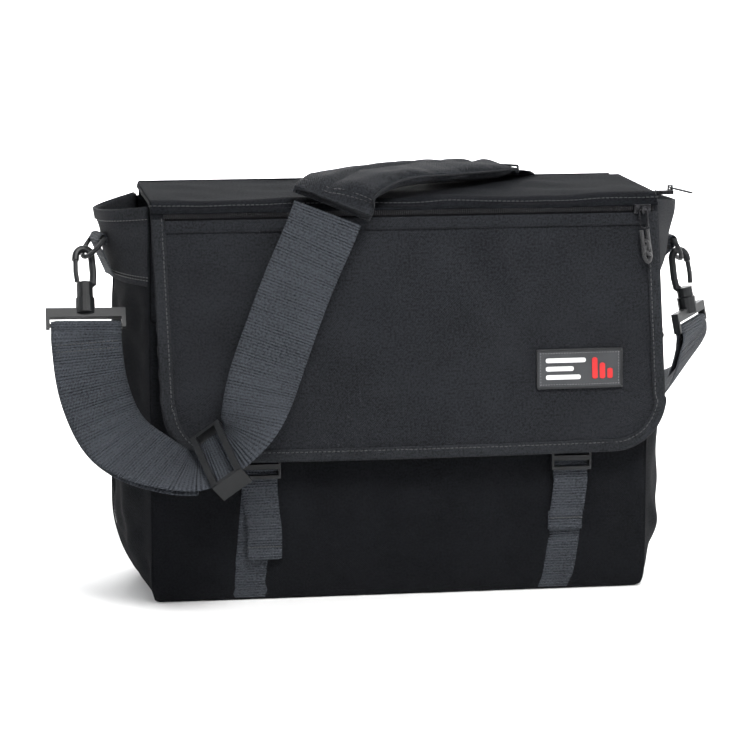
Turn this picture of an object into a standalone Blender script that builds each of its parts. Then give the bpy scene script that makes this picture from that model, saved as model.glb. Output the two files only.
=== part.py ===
"""Messenger bag with a full front flap, shoulder strap and two webbing closures.

Frame: +X to the right of the front view, +Y to the back, +Z up, origin at the centre of the
underside of the base. Every size below is in millimetres; shapes are scaled to metres as they
are made.
"""
import math

import bmesh
import bpy
from mathutils import Vector

MM = 0.001                  # metres in one millimetre
GAP = 0.3                   # clearance between touching pieces

# Driving dimensions of the bag
HALF_WIDTH = 180.0          # side seam to centre
HALF_DEPTH = 60.0           # front or back face to centre
WALL = 2.5                  # padded fabric wall
FRONT_TOP = 284.0           # height of the front panel
BACK_TOP = 282.0            # height of the back panel
POCKET_TOP = 205.0          # height of the slim front pocket
POCKET_BULGE = 7.0          # how far the front pocket swells
GUSSET_TOP = 232.0          # where the plain gusset meets the ear panel
GUSSET_BULGE = 23.0         # how far the gusset stands out beyond the side seam
BULGE_START = 65.0          # height where the gusset reaches its full bulge
GUSSET_CREST_Y = 12.0       # depth position of the gusset's widest point
EAR_BULGE = (24.0, 34.0)    # bulge at the bottom and at the rim of the ear panel
RIM_FRONT, RIM_BACK, RIM_DIP = 287.0, 284.0, 7.0
ZIP_BAND = (19.0, 25.0)     # gap in the gusset and base that the expansion zip fills

# Flap
HINGE_Y, HINGE_Z = 60.5, 286.5
FLAP_TOP = 290.5            # top surface of the flap
FLAP_WALL = 2.2
FLAP_EDGE = 8.0             # radius of the fold from the top to the drop panel
FLAP_FRONT = -66.0          # outer face at the fold
FLAP_STANDOFF = 18.0        # how far the hem stands forward of the fold
FLAP_HEM = 105.0
FLAP_LEFT = (-180.0, -173.0)    # left edge at the top and at the hem
FLAP_RIGHT = (186.0, 194.0)
FLAP_CORNER = 40.0          # radius of the hem corners
BINDING_WIDTH = 8.0
STORM_EDGE = 286.5          # lower edge of the storm cover
ZIP_Z = 282.0               # centre line of the flap-pocket zip

# Webbing
UNFOLD_STEP = 0.6           # each edge of a strap moves on by at least this much a sample
STRAP_WIDTH, STRAP_THICK = 50.0, 1.5
BAIL_WALL, BAIL_BORE = 2.0, 1.2     # a slider's post: half height and bore radius
CLOSURE_WIDTH, CLOSURE_THICK = 25.0, 1.4
CORD = 2.8                  # zip-pull cord

COLOURS = {
    "cordura": ((0.018, 0.020, 0.024), 0.85, 0.0),
    "lining": ((0.030, 0.032, 0.036), 0.80, 0.0),
    "webbing": ((0.045, 0.048, 0.055), 0.70, 0.0),
    "binding": ((0.022, 0.024, 0.028), 0.75, 0.0),
    "hardware": ((0.060, 0.062, 0.066), 0.45, 0.0),
    "zip_metal": ((0.040, 0.040, 0.044), 0.35, 0.8),
    "zip_tape": ((0.012, 0.012, 0.014), 0.60, 0.0),
    "cord": ((0.010, 0.010, 0.012), 0.40, 0.0),
    "rubber": ((0.070, 0.072, 0.078), 0.60, 0.0),
    "board": ((0.030, 0.030, 0.030), 0.55, 0.0),
}


def clear_scene():
    """Remove what the file starts with."""
    for obj in list(bpy.data.objects):
        bpy.data.objects.remove(obj, do_unlink=True)


def make_material(node, kind):
    """Give one node its own Principled material."""
    colour, roughness, metallic = COLOURS[kind]
    mat = bpy.data.materials.new(node)
    mat.use_nodes = True
    shader = mat.node_tree.nodes["Principled BSDF"]
    shader.inputs["Base Color"].default_value = (*colour, 1.0)
    shader.inputs["Roughness"].default_value = roughness
    shader.inputs["Metallic"].default_value = metallic
    mat.diffuse_color = (*colour, 1.0)
    return mat


def make_object(name, shape, pivot=(0, 0, 0)):
    """Turn points and faces, in millimetres, into an object whose origin is at pivot."""
    points, faces = shape
    origin = Vector(pivot)
    mesh = bpy.data.meshes.new(name)
    mesh.from_pydata([(Vector(p) - origin) * MM for p in points], [], faces)
    form = bmesh.new()
    form.from_mesh(mesh)
    bmesh.ops.recalc_face_normals(form, faces=form.faces)
    form.to_mesh(mesh)
    form.free()
    mesh.shade_smooth()
    mesh.set_sharp_from_angle(angle=math.radians(35))
    obj = bpy.data.objects.new(name, mesh)
    bpy.context.scene.collection.objects.link(obj)
    obj.location = origin * MM
    return obj


def solid(name, shape, kind, pivot=(0, 0, 0), add=(), cut=(), then=()):
    """Make one node, joined with add, cut by cut, then changed by (operation, shape) pairs."""
    obj = make_object(name, shape, pivot)
    obj.data.materials.append(make_material(name, kind))
    tools = [("UNION", other) for other in add] + [("DIFFERENCE", other) for other in cut] + list(then)
    for number, (operation, other) in enumerate(tools):
        tool = make_object(f"{name}_tool_{number}", other)
        tool.hide_render = True
        tool.display_type = "WIRE"
        change = obj.modifiers.new(f"{operation.lower()}_{number}", "BOOLEAN")
        change.operation = operation
        change.solver = "EXACT"
        change.object = tool
    return obj


# Shapes, as points and faces

def loft(rings, closed=False):
    """Join rings of points, one after another, into one closed body."""
    count = len(rings[0])
    total = len(rings)
    points = [point for ring in rings for point in ring]
    faces = []
    for row in range(total if closed else total - 1):
        following = (row + 1) % total
        for i in range(count):
            j = (i + 1) % count
            faces.append((row * count + i, row * count + j, following * count + j, following * count + i))
    if not closed:
        faces.append(tuple(range(count)))
        faces.append(tuple(range((total - 1) * count, total * count)))
    return points, faces


def grid_solid(outer, inner):
    """Close the space between two grids of points of the same size."""
    rows, columns = len(outer), len(outer[0])
    shift = rows * columns
    points = [p for row in outer for p in row] + [p for row in inner for p in row]
    faces = []
    for row in range(rows - 1):
        for column in range(columns - 1):
            first = row * columns + column
            quad = (first, first + 1, first + columns + 1, first + columns)
            faces.append(quad)
            faces.append(tuple(shift + corner for corner in reversed(quad)))
    border = list(range(columns))
    border += [row * columns + columns - 1 for row in range(1, rows)]
    border += [(rows - 1) * columns + column for column in range(columns - 2, -1, -1)]
    border += [row * columns for row in range(rows - 2, 0, -1)]
    for place, first in enumerate(border):
        second = border[(place + 1) % len(border)]
        faces.append((second, first, shift + first, shift + second))
    return points, faces


def block(low, high):
    """Make a box between two corners."""
    (x0, y0, z0), (x1, y1, z1) = low, high
    ring = [(x0, y0), (x1, y0), (x1, y1), (x0, y1)]
    return loft([[(x, y, z) for x, y in ring] for z in (z0, z1)])


def beam(centre, axes, size):
    """Make a box round a centre, along three axes at right angles."""
    centre = Vector(centre)
    half = [Vector(axis) * extent / 2 for axis, extent in zip(axes, size)]
    rings = []
    for end in (-1, 1):
        corners = [(-1, -1), (1, -1), (1, 1), (-1, 1)]
        rings.append([centre + half[2] * end + half[0] * i + half[1] * j for i, j in corners])
    return loft(rings)


def spread(values, per_span):
    """Read a smooth curve through a list of vectors of any length, per_span samples a span."""
    result = []
    for span in range(len(values) - 1):
        before = values[max(span - 1, 0)]
        start, end = values[span], values[span + 1]
        after = values[min(span + 2, len(values) - 1)]
        for step in range(per_span):
            t = step / per_span
            weights = (-0.5 * t + t * t - 0.5 * t ** 3, 1 - 2.5 * t * t + 1.5 * t ** 3,
                       0.5 * t + 2 * t * t - 1.5 * t ** 3, -0.5 * t * t + 0.5 * t ** 3)
            result.append([sum(w * v for w, v in zip(weights, group))
                           for group in zip(before, start, end, after)])
    result.append(list(values[-1]))
    return result


def frames(stations, per_span):
    """Give a smooth run of centre, direction, width vector and normal along a strap."""
    samples = spread([tuple(centre) + tuple(across) for centre, across in stations], per_span)
    centres = [Vector(sample[:3]) for sample in samples]
    run = []
    for i, sample in enumerate(samples):
        ahead = (centres[min(i + 1, len(centres) - 1)] - centres[max(i - 1, 0)]).normalized()
        across = Vector(sample[3:])
        across = (across - ahead * across.dot(ahead)).normalized()
        run.append((centres[i], ahead, across, ahead.cross(across)))
    return run


def unfolded(run, width=STRAP_WIDTH, least=UNFOLD_STEP):
    """Leave out the samples at which one edge of the webbing would fall back on itself."""
    kept = [run[0]]
    for frame in run[1:]:
        last = kept[-1]
        steps_on = [(frame[0] + frame[2] * half - last[0] - last[2] * half).dot(last[1])
                    for half in (-width / 2, width / 2)]
        if min(steps_on) > least:
            kept.append(frame)
        elif frame is run[-1] and len(kept) > 1:
            kept[-1] = frame
    return kept


def ribbon(run, width, thick, offset=0.0):
    """Make flat webbing along a run, shifted along its normal."""
    rings = []
    for centre, _, across, normal in unfolded(run, width):
        middle = centre + normal * offset
        side, face = across * width / 2, normal * thick / 2
        rings.append([middle - side - face, middle + side - face, middle + side + face, middle - side + face])
    return loft(rings)


def tube(points, radius, sides=10, closed=False):
    """Make a round bar along points, closed into a ring if asked."""
    points = [Vector(point) for point in points]
    count = len(points)
    rings = []
    side = None
    for i, point in enumerate(points):
        ahead = points[(i + 1) % count] if closed else points[min(i + 1, count - 1)]
        behind = points[i - 1] if closed else points[max(i - 1, 0)]
        along = (ahead - behind).normalized()
        if side is None:
            side = along.orthogonal().normalized()
        side = (side - along * side.dot(along)).normalized()
        other = along.cross(side)
        turns = [2 * math.pi * step / sides for step in range(sides)]
        rings.append([point + (side * math.cos(t) + other * math.sin(t)) * radius for t in turns])
    return loft(rings, closed)


def cord(name, route):
    """Make a free cord as a capped tube curve along a smooth route."""
    samples = spread([tuple(point) for point in route], 2)
    curve = bpy.data.curves.new(name, "CURVE")
    curve.dimensions = "3D"
    curve.bevel_depth = CORD / 2 * MM
    curve.bevel_resolution = 2
    curve.use_fill_caps = True
    curve.render_resolution_u = 0
    line = curve.splines.new("POLY")
    line.points.add(len(samples) - 1)
    pivot = Vector(route[0])
    for place, sample in zip(line.points, samples):
        place.co = (*((Vector(sample) - pivot) * MM), 1.0)
    curve.materials.append(make_material(name, "cord"))
    obj = bpy.data.objects.new(name, curve)
    obj.location = pivot * MM
    bpy.context.scene.collection.objects.link(obj)
    return obj


# Surfaces of the bag

def ease(value):
    """Rise smoothly from 0 to 1."""
    value = min(max(value, 0.0), 1.0)
    return value * value * (3 - 2 * value)


def side_shape(y):
    """Give the gusset's outline in plan, 0 at the seams and 1 at its crest."""
    reach = GUSSET_CREST_Y + HALF_DEPTH if y < GUSSET_CREST_Y else HALF_DEPTH - GUSSET_CREST_Y
    return 1 - ((y - GUSSET_CREST_Y) / reach) ** 2


def gusset_x(y, z):
    """Give the distance of the gusset's outer face from the centre plane."""
    swell = 1 - (1 - min(z / BULGE_START, 1.0)) ** 2.2
    taper = 1 - 0.13 * ease((z - 150) / (GUSSET_TOP - 150))
    return HALF_WIDTH + GUSSET_BULGE * swell * taper * side_shape(y)


def rim_z(y):
    """Give the height of the ear panel's rim."""
    share = (y + HALF_DEPTH) / (2 * HALF_DEPTH)
    return RIM_FRONT + (RIM_BACK - RIM_FRONT) * share - RIM_DIP * side_shape(y)


def ear_x(y, z):
    """Give the distance of the ear panel's outer face from the centre plane."""
    share = (z - GUSSET_TOP) / (rim_z(y) - GUSSET_TOP)
    low, high = EAR_BULGE
    return HALF_WIDTH + (low + (high - low) * share) * side_shape(y)


def pocket_y(x, z):
    """Give the outer face of the front pocket."""
    swell = POCKET_BULGE * (1 - (abs(x) / HALF_WIDTH) ** 4)
    height = ease(z / 45) * (1 - 0.4 * ease((z - 75) / 70))
    return -HALF_DEPTH - swell * height


def flap_edge(side, z):
    """Give the flap's left or right edge at a height."""
    top, bottom = FLAP_LEFT if side < 0 else FLAP_RIGHT
    return top + (bottom - top) * (FLAP_TOP - z) / (FLAP_TOP - FLAP_HEM)


def flap_y(x, z):
    """Give the outer face of the flap's drop panel."""
    share = max((FLAP_TOP - z) / (FLAP_TOP - FLAP_HEM), 0.0) ** 0.8
    return FLAP_FRONT - FLAP_STANDOFF * share * (1 - 0.45 * (x / 190) ** 2)


def hem_z(x):
    """Give the height of the flap's lower edge, with its round corners."""
    inset = min(x - FLAP_LEFT[1], FLAP_RIGHT[1] - x)
    if inset >= FLAP_CORNER:
        return FLAP_HEM
    inset = max(inset, 0.0)
    return FLAP_HEM + FLAP_CORNER - math.sqrt(FLAP_CORNER ** 2 - (FLAP_CORNER - inset) ** 2)


def steps(start, end, count):
    """Give evenly spaced values, both ends included."""
    return [start + (end - start) * i / (count - 1) for i in range(count)]


# Shell of the bag

def panel_walls():
    """Front, back and pocket panels, the divider and the base."""
    solid("front_panel", block((-HALF_WIDTH, -57.5, 0), (HALF_WIDTH, -55, FRONT_TOP)), "cordura")
    solid("back_panel", block((-HALF_WIDTH, 57.5, 0), (HALF_WIDTH, HALF_DEPTH, BACK_TOP)), "cordura")
    heights = [0, 12, 25, 40, 60, 80, 105, 130, 155, 180, POCKET_TOP]
    across = steps(-HALF_WIDTH, HALF_WIDTH, 17)
    outer = [[(x, pocket_y(x, z), z) for x in across] for z in heights]
    inner = [[(x, pocket_y(x, z) + 2.2, z) for x in across] for z in heights]
    solid("front_pocket_panel", grid_solid(outer, inner), "cordura")
    solid("laptop_divider", block((-172, 34, 3.4), (172, 40, 236)), "lining")
    band_front, band_back = ZIP_BAND
    solid("base_front", block((-177.2, -54.7, 0), (177.2, band_front, WALL)), "cordura")
    solid("base_rear", block((-177.2, band_back, 0), (177.2, 57.2, WALL)), "cordura")
    solid("base_board", block((-172, -52, WALL + GAP), (172, 33.7, WALL + GAP + 2)), "board")


def gusset_band(name, side, low, high):
    """Make one band of a side gusset between two depths."""
    depths = steps(low, high, 7)
    heights = [0, 4, 9, 16, 25, 38, 52, BULGE_START, 110, 155, 180, 205, GUSSET_TOP]
    outer = [[(side * gusset_x(y, z), y, z) for y in depths] for z in heights]
    inner = [[(side * (gusset_x(y, z) - WALL), y, z) for y in depths] for z in heights]
    solid(name, grid_solid(outer, inner), "cordura")


def ear_panel(name, side):
    """Make the double band at the top of a gusset, open outwards."""
    depths = steps(-54.7, 57.2, 13)
    shares = [0, 0.33, 0.66, 1.0]
    outer, inner = [], []
    for share in shares:
        row = [(y, GUSSET_TOP + GAP + share * (rim_z(y) - GUSSET_TOP - GAP)) for y in depths]
        outer.append([(side * ear_x(y, z), y, z) for y, z in row])
        inner.append([(side * (ear_x(y, z) - WALL), y, z) for y, z in row])
    solid(name, grid_solid(outer, inner), "cordura")


def side_walls():
    """Both gussets, parted by the expansion zip, and both ear panels."""
    for word, side in (("left", -1), ("right", 1)):
        gusset_band(f"gusset_front_{word}", side, -54.7, ZIP_BAND[0])
        gusset_band(f"gusset_rear_{word}", side, ZIP_BAND[1], 57.2)
        ear_panel(f"ear_panel_{word}", side)


def expansion_zip():
    """The chain that runs down one gusset, under the base and up the other."""
    inset, thick = 1.3, 1.5
    heights = [GUSSET_TOP - 1, 205, 180, 155, 110, BULGE_START, 45, 28, 16, 9, 5]
    right = [(gusset_x(22, z) - inset, z) for z in heights]
    path = [(-x, z) for x, z in right] + [(-176, inset)] + [(176, inset)] + list(reversed(right))
    low, high = ZIP_BAND[0] + GAP, ZIP_BAND[1] - GAP
    rings = []
    for i, (x, z) in enumerate(path):
        ahead, behind = path[min(i + 1, len(path) - 1)], path[max(i - 1, 0)]
        along = Vector((ahead[0] - behind[0], 0, ahead[1] - behind[1])).normalized()
        face = along.cross(Vector((0, 1, 0))) * thick / 2
        middle = Vector((x, 0, z))
        rings.append([middle + face * s + Vector((0, y, 0)) for s, y in ((-1, low), (1, low), (1, high), (-1, high))])
    solid("expansion_zip", loft(rings), "zip_tape")


def pull_cord(name, eye, lean, across, length):
    """Make a doubled cord that hangs from an eye and turns back up to it."""
    eye, lean, across = Vector(eye), Vector(lean).normalized(), Vector(across).normalized()
    gap = 2.2
    route = [eye + across * gap, eye + across * gap + lean * length * 0.33]
    route += [eye + across * gap * 1.1 + lean * length * 0.66, eye + across * gap + lean * length * 0.9]
    route += [eye + lean * (length + 1.5)]
    route += [eye - across * gap + lean * length * 0.9, eye - across * gap * 1.1 + lean * length * 0.66]
    route += [eye - across * gap + lean * length * 0.33, eye - across * gap]
    return cord(name, route)


def bail(pivot, axis, toward, reach):
    """Give a slider's post and the bore in it for the pull's end bar."""
    pivot, axis, toward = Vector(pivot), Vector(axis), Vector(toward)
    rise = axis.cross(toward)
    middle = pivot + toward * (reach - BAIL_WALL) / 2
    post = beam(middle, (axis, toward, rise), (2.4, reach + BAIL_WALL, 2 * BAIL_WALL))
    return post, tube([pivot - axis * 3, pivot + axis * 3], BAIL_BORE, 16)


def wire_pull(name, pivot, lean, across, length):
    """Make a wire loop whose end bar lies on the pivot and which hangs along lean."""
    pivot, lean = Vector(pivot), Vector(lean).normalized()
    across = Vector(across)
    across = (across - lean * across.dot(lean)).normalized()
    half, wire = 2.8, 0.75
    ring = [pivot + across * half * v for v in (-0.75, -0.25, 0.25, 0.75)]
    ring += [pivot + across * half + lean * 0.7]
    middle = pivot + lean * (length - half)
    ring += [middle + across * half * math.cos(t) + lean * half * math.sin(t) for t in steps(0, math.pi, 7)]
    ring += [pivot - across * half + lean * 0.7]
    solid(name, tube(ring, wire, 8, closed=True), "zip_metal", pivot=pivot)


# Expansion-zip sliders: height, depth offset of the pull and how far the pull hangs out
EXPANSION_SLIDERS = {"upper": (205.0, 17.6, 26.0), "lower": (188.0, 26.6, 24.0)}
SLIDER_X = 203.4


def expansion_sliders():
    """Two sliders on the right gusset, each with a wire pull and a doubled cord."""
    for word, (z, depth, length) in EXPANSION_SLIDERS.items():
        body = block((SLIDER_X, 16.4, z - 5.5), (SLIDER_X + 2.6, 27.8, z + 5.5))
        pivot = Vector((SLIDER_X + 3.9, depth, z))
        post, bore = bail(pivot, (0, 1, 0), (-1, 0, 0), 2.3)
        solid(f"expansion_slider_{word}", body, "zip_metal", pivot=(SLIDER_X, 22, z), add=[post], cut=[bore])
        lean = Vector((0.12, 0, -1)).normalized()
        wire_pull(f"expansion_puller_{word}", pivot, lean, (0, 1, 0), 13.4)
        eye = pivot + lean * 14.6
        pull_cord(f"expansion_cord_{word}", eye, (0.02, 0, -1), (0, 1, 0), length)


def main_zip():
    """Both halves of the open top zip, and its slider parked on the right-hand rim."""
    flat = (0, 1, 0)
    front = [((-170, -48, 279), flat), ((0, -48, 279), flat), ((140, -48, 279), flat),
             ((178, -30, 279), (-0.6, 0.8, 0)), ((196, -4, 281), (-0.82, 0.57, 0))]
    back = [((-170, 50.5, 277), flat), ((0, 50.5, 277), flat), ((140, 50.5, 277), flat),
            ((176, 38, 278), (0.6, 0.8, 0)), ((194, 19, 281), (0.75, 0.66, 0))]
    solid("main_zip_tape_front", ribbon(frames(front, 3), 11, 1.2), "zip_tape")
    solid("main_zip_tape_back", ribbon(frames(back, 3), 11, 1.2), "zip_tape")
    body = block((203, 5, 282), (216, 13, 285))
    pivot = (214, 9, 286.8)
    post, bore = bail(pivot, (0, 1, 0), (0, 0, -1), 2.6)
    solid("main_zip_slider", body, "zip_metal", pivot=(209, 9, 283.5), add=[post], cut=[bore])
    wire_pull("main_zip_puller", pivot, (1, 0, -0.25), (0, 1, 0), 17.6)


# Flap

def flap_rows(x, offset):
    """Give the flap's points at one X, from its rear edge over the fold to the hem."""
    top = FLAP_TOP + offset
    fold_y, fold_z = FLAP_FRONT + FLAP_EDGE, FLAP_TOP - FLAP_EDGE
    line = [(HINGE_Y + 1, top - 2), (HINGE_Y - 1.5, top)]
    line += [(y, top) for y in (40, 20, 0, -20, -40, fold_y)]
    radius = FLAP_EDGE + offset
    for angle in (25, 50, 75):
        turn = math.radians(angle)
        line.append((fold_y - radius * math.sin(turn), fold_z + radius * math.cos(turn)))
    low = hem_z(x)
    line += [(flap_y(x, z) - offset, z) for z in steps(278, low, 10)]
    return line


def flap_grid(offset):
    """Give the flap's surface as a grid, shifted outwards by offset."""
    shares = [0, 0.004, 0.02, 0.05, 0.09, 0.15, 0.22, 0.35, 0.5, 0.65, 0.78, 0.85, 0.91, 0.95, 0.98, 0.996, 1]
    grid = []
    for share in shares:
        hem_x = FLAP_LEFT[1] + (FLAP_RIGHT[1] - FLAP_LEFT[1]) * share
        column = []
        for y, z in flap_rows(hem_x, offset):
            left, right = flap_edge(-1, z), flap_edge(1, z)
            column.append((left + (right - left) * share, y, z))
        grid.append(column)
    return grid


def flap_panels():
    """The flap's shell, its storm cover and the binding round its free edges."""
    solid("flap_shell", grid_solid(flap_grid(0), flap_grid(-FLAP_WALL)), "cordura", pivot=(0, HINGE_Y, HINGE_Z))
    low, high = GAP, GAP + 1.5
    across = steps(FLAP_LEFT[0], FLAP_RIGHT[0], 13)

    def cover(offset):
        fold_y, fold_z = FLAP_FRONT + FLAP_EDGE, FLAP_TOP - FLAP_EDGE
        radius = FLAP_EDGE + offset
        line = [(y, FLAP_TOP + offset) for y in (HINGE_Y - 3, 30, 0, -30, fold_y)]
        stop = math.acos((STORM_EDGE - fold_z) / radius)
        line += [(fold_y - radius * math.sin(t), fold_z + radius * math.cos(t)) for t in steps(stop / 3, stop, 3)]
        return [[(x, y, z) for x in across] for y, z in line]

    solid("flap_storm_cover", grid_solid(cover(high), cover(low)), "cordura", pivot=(0, HINGE_Y, HINGE_Z))

    half = BINDING_WIDTH / 2
    outline = []
    for z in (272, 230, 190, FLAP_HEM + FLAP_CORNER):
        outline.append((flap_edge(-1, z) + half, z))
    turns = [math.radians(a) for a in (18, 36, 54, 72, 90)]
    reach = FLAP_CORNER - half
    outline += [(FLAP_LEFT[1] + FLAP_CORNER - reach * math.cos(t), FLAP_HEM + FLAP_CORNER - reach * math.sin(t))
                for t in turns]
    outline += [(x, FLAP_HEM + half) for x in (-90, -40, 10, 60, 110)]
    outline += [(FLAP_RIGHT[1] - FLAP_CORNER + reach * math.cos(t), FLAP_HEM + FLAP_CORNER - reach * math.sin(t))
                for t in reversed(turns)]
    for z in (FLAP_HEM + FLAP_CORNER, 190, 230, 272):
        outline.append((flap_edge(1, z) - half, z))
    rings = []
    for i, (x, z) in enumerate(outline):
        ahead, behind = outline[min(i + 1, len(outline) - 1)], outline[max(i - 1, 0)]
        along = Vector((ahead[0] - behind[0], 0, ahead[1] - behind[1])).normalized()
        side = Vector((-along.z, 0, along.x)) * half
        ring = []
        for place, lift in ((-1, 0.6), (1, 0.6), (1, 1.5), (-1, 1.5)):
            px, pz = x + side.x * place, z + side.z * place
            ring.append((px, flap_y(px, pz) - lift, pz))
        rings.append(ring)
    solid("flap_binding", loft(rings), "binding", pivot=(0, HINGE_Y, HINGE_Z))


ZIP_SLIDER_X = 174.0


def flap_zip():
    """The zip under the storm cover, with its slider, pull and doubled cord."""
    across = steps(-170, 182, 13)

    def chain(lift):
        return [[(x, flap_y(x, z) - lift, z) for x in across] for z in (ZIP_Z + 2.4, ZIP_Z - 2.4)]

    solid("flap_zip_chain", grid_solid(chain(1.2), chain(0.4)), "zip_tape")
    front = flap_y(0, ZIP_Z) - 1.6
    body = block((ZIP_SLIDER_X - 6, front - 2.6, ZIP_Z - 4), (ZIP_SLIDER_X + 6, front, ZIP_Z + 2.4))
    pivot = Vector((ZIP_SLIDER_X, front - 4.4, ZIP_Z - 1.2))
    post, bore = bail(pivot, (1, 0, 0), (0, 1, 0), 2.6)
    solid("flap_zip_slider", body, "zip_metal", pivot=(ZIP_SLIDER_X, front, ZIP_Z), add=[post], cut=[bore])
    lean = Vector((0.06, -0.08, -1)).normalized()
    wire_pull("flap_zip_puller", pivot, lean, (1, 0, 0), 13.4)
    pull_cord("flap_zip_cord", pivot + lean * 14.6, (0.12, -0.09, -1), (1, 0, 0.1), 22)


def label():
    """The rubber patch near the flap's lower right corner."""
    across = steps(96, 160, 5)

    def face(lift):
        return [[(x, flap_y(x, z) - lift, z) for x in across] for z in (181.5, 167, 152.5)]

    solid("label_patch", grid_solid(face(1.9), face(0.4)), "rubber")


# Shoulder strap

# Stations of the strap: centre and width vector. The first station is the loop's crossbar.
LEFT_RUN = [((-224.6, -39.9, 200.7), (1, 0, 0)), ((-224.7, -42.7, 196.5), (1, 0, 0)),
            ((-224.8, -47.6, 189), (1, 0, 0)),
            ((-222, -56, 160), (0.97, 0.1, 0.15)), ((-213, -66, 134), (0.75, 0.4, 0.5)),
            ((-204, -78, 122), (0.5, 0.6, 0.62)), ((-192.8, -87, 115.5), (0.33, 0.72, 0.61))]
ADJUSTER_ACROSS = (-0.397, 0.882, 0.254)
FRONT_RUN = [((-182, -96, 110.5), (0.2, 0.8, 0.56)), ((-166, -105, 105), (-0.1, 0.9, 0.4)),
             ((-151.3, -110.7, 103.9), ADJUSTER_ACROSS), ((-144, -111.8, 109.2), ADJUSTER_ACROSS),
             ((-136, -113, 115), ADJUSTER_ACROSS), ((-128, -114.2, 120.9), ADJUSTER_ACROSS),
             ((-120, -115.4, 126.7), ADJUSTER_ACROSS), ((-113.5, -112, 139), (-0.55, 0.72, 0.42)),
             ((-106, -102, 162), (-0.82, 0.4, 0.4)),
             ((-96, -93, 188.5), (-0.92, 0.1, 0.37)), ((-78, -91, 236), (-0.93, 0, 0.36)),
             ((-61, -89, 273), (-0.95, 0, 0.3)), ((-56.5, -86, 284), (-0.97, 0.05, 0.15))]
PAD_RUN = [((-52.5, -83, 291), (-0.97, 0.05, 0.15)), ((-45, -72, 300), (-0.9, 0.4, 0.1)),
           ((-16, -43, 304.5), (-0.75, 0.66, 0)), ((25, -10, 303.5), (-0.68, 0.73, 0)),
           ((58, 18, 302), (-0.72, 0.69, 0)), ((80, 42, 300.5), (-0.9, 0.4, 0))]
RIGHT_RUN = [((232.6, 13.6, 182.8), (0.56, 0.82, 0.06)), ((233.5, 13.4, 177.9), (0.56, 0.82, 0.06)),
             ((235, 13.2, 169.5), (0.56, 0.82, 0.06)), ((232, 26, 153), (0.5, 0.85, 0.15)),
             ((227, 47, 136), (0.42, 0.86, 0.3)), ((209, 70, 121), (0.3, 0.88, 0.36)),
             ((182, 89, 110), (0.1, 0.93, 0.35)), ((155, 95, 113), (-0.1, 0.95, 0.3)),
             ((132, 93, 133), (-0.3, 0.9, 0.25)), ((119, 87, 165), (-0.6, 0.75, 0.1)),
             ((111, 79, 210), (-0.87, 0.48, 0)), ((105, 70, 262), (-0.98, 0.15, 0))]
SPAN = 3                    # samples between two stations
LAYER = 1.9                 # each layer of a doubled strap lies this far off its centre line
CUFF = 2.8                  # radius at which the strap turns over its crossbar


def strap_ring(centre, across, normal):
    """Give the four corners of the strap's section."""
    side, face = across * STRAP_WIDTH / 2, normal * STRAP_THICK / 2
    return [centre - side - face, centre + side - face, centre + side + face, centre - side + face]


def looped_strap(name, run, tail):
    """Make a strap that turns over a crossbar at its first station and has a tail behind it."""
    outer, under = unfolded(run[1:]), unfolded(run[1:tail])
    rings = [strap_ring(c + n * LAYER, w, n) for c, _, w, n in reversed(outer[1:])]
    rings += [strap_ring(c + n * CUFF, w, n) for c, _, w, n in (outer[0], run[0])]
    centre, ahead, across, normal = run[0]
    for turn in (45, 90, 135):
        angle = math.radians(turn)
        face = normal * math.cos(angle) - ahead * math.sin(angle)
        rings.append(strap_ring(centre + face * CUFF, across, face))
    rings += [strap_ring(c - n * CUFF, w, -n) for c, _, w, n in (run[0], under[0])]
    rings += [strap_ring(c - n * LAYER, w, -n) for c, _, w, n in under[1:]]
    return solid(name, loft(rings), "webbing")


def straps():
    """The webbing runs of the shoulder strap."""
    run = frames(LEFT_RUN + FRONT_RUN, SPAN)
    cut = SPAN * (len(LEFT_RUN) - 1)
    left, front = run[:cut + 1], run[cut:]
    looped_strap("strap_left_run", left, len(left))
    centre, ahead, across, normal = front[0]
    front[0] = (centre + ahead * 0.8, ahead, across, normal)
    solid("strap_front_run", ribbon(front, STRAP_WIDTH, STRAP_THICK, LAYER), "webbing")
    solid("strap_loop_inner", ribbon(front[:3 * SPAN + 1], STRAP_WIDTH, STRAP_THICK, -LAYER), "webbing")
    looped_strap("strap_rear_run", frames(RIGHT_RUN, SPAN), 3 * SPAN)


def shoulder_pad():
    """The padded sleeve on the strap, lying over the top of the flap."""
    rings = []
    for centre, ahead, across, normal in frames(PAD_RUN, 3):
        ring = []
        for turn in [2 * math.pi * i / 12 for i in range(12)]:
            wide, tall = math.cos(turn), math.sin(turn)
            wide = math.copysign(abs(wide) ** 0.6, wide)
            ring.append(centre + across * 29 * wide + normal * 5.5 * tall)
        rings.append(ring)
    solid("shoulder_pad", loft(rings), "cordura")


def tri_glide():
    """The adjuster: two end bars in front of the webbing, a middle bar behind it."""
    run = frames(LEFT_RUN + FRONT_RUN, SPAN)
    centre, along, across, normal = run[SPAN * (len(LEFT_RUN) + 4)]
    centre = centre + normal * LAYER
    axes = (across, along, normal)
    bars = [beam(centre + along * place + normal * 4.4, axes, (57, 4.4, 3.4)) for place in (-10, 10)]
    bars.append(beam(centre - normal * 7.6, axes, (57, 5, 3.0)))
    rails = [beam(centre + across * place - normal * 2.0, axes, (3.0, 24.4, 15.4)) for place in (-27.8, 27.8)]
    solid("tri_glide", rails[0], "hardware", pivot=tuple(centre), add=bars + rails[1:])


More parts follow.
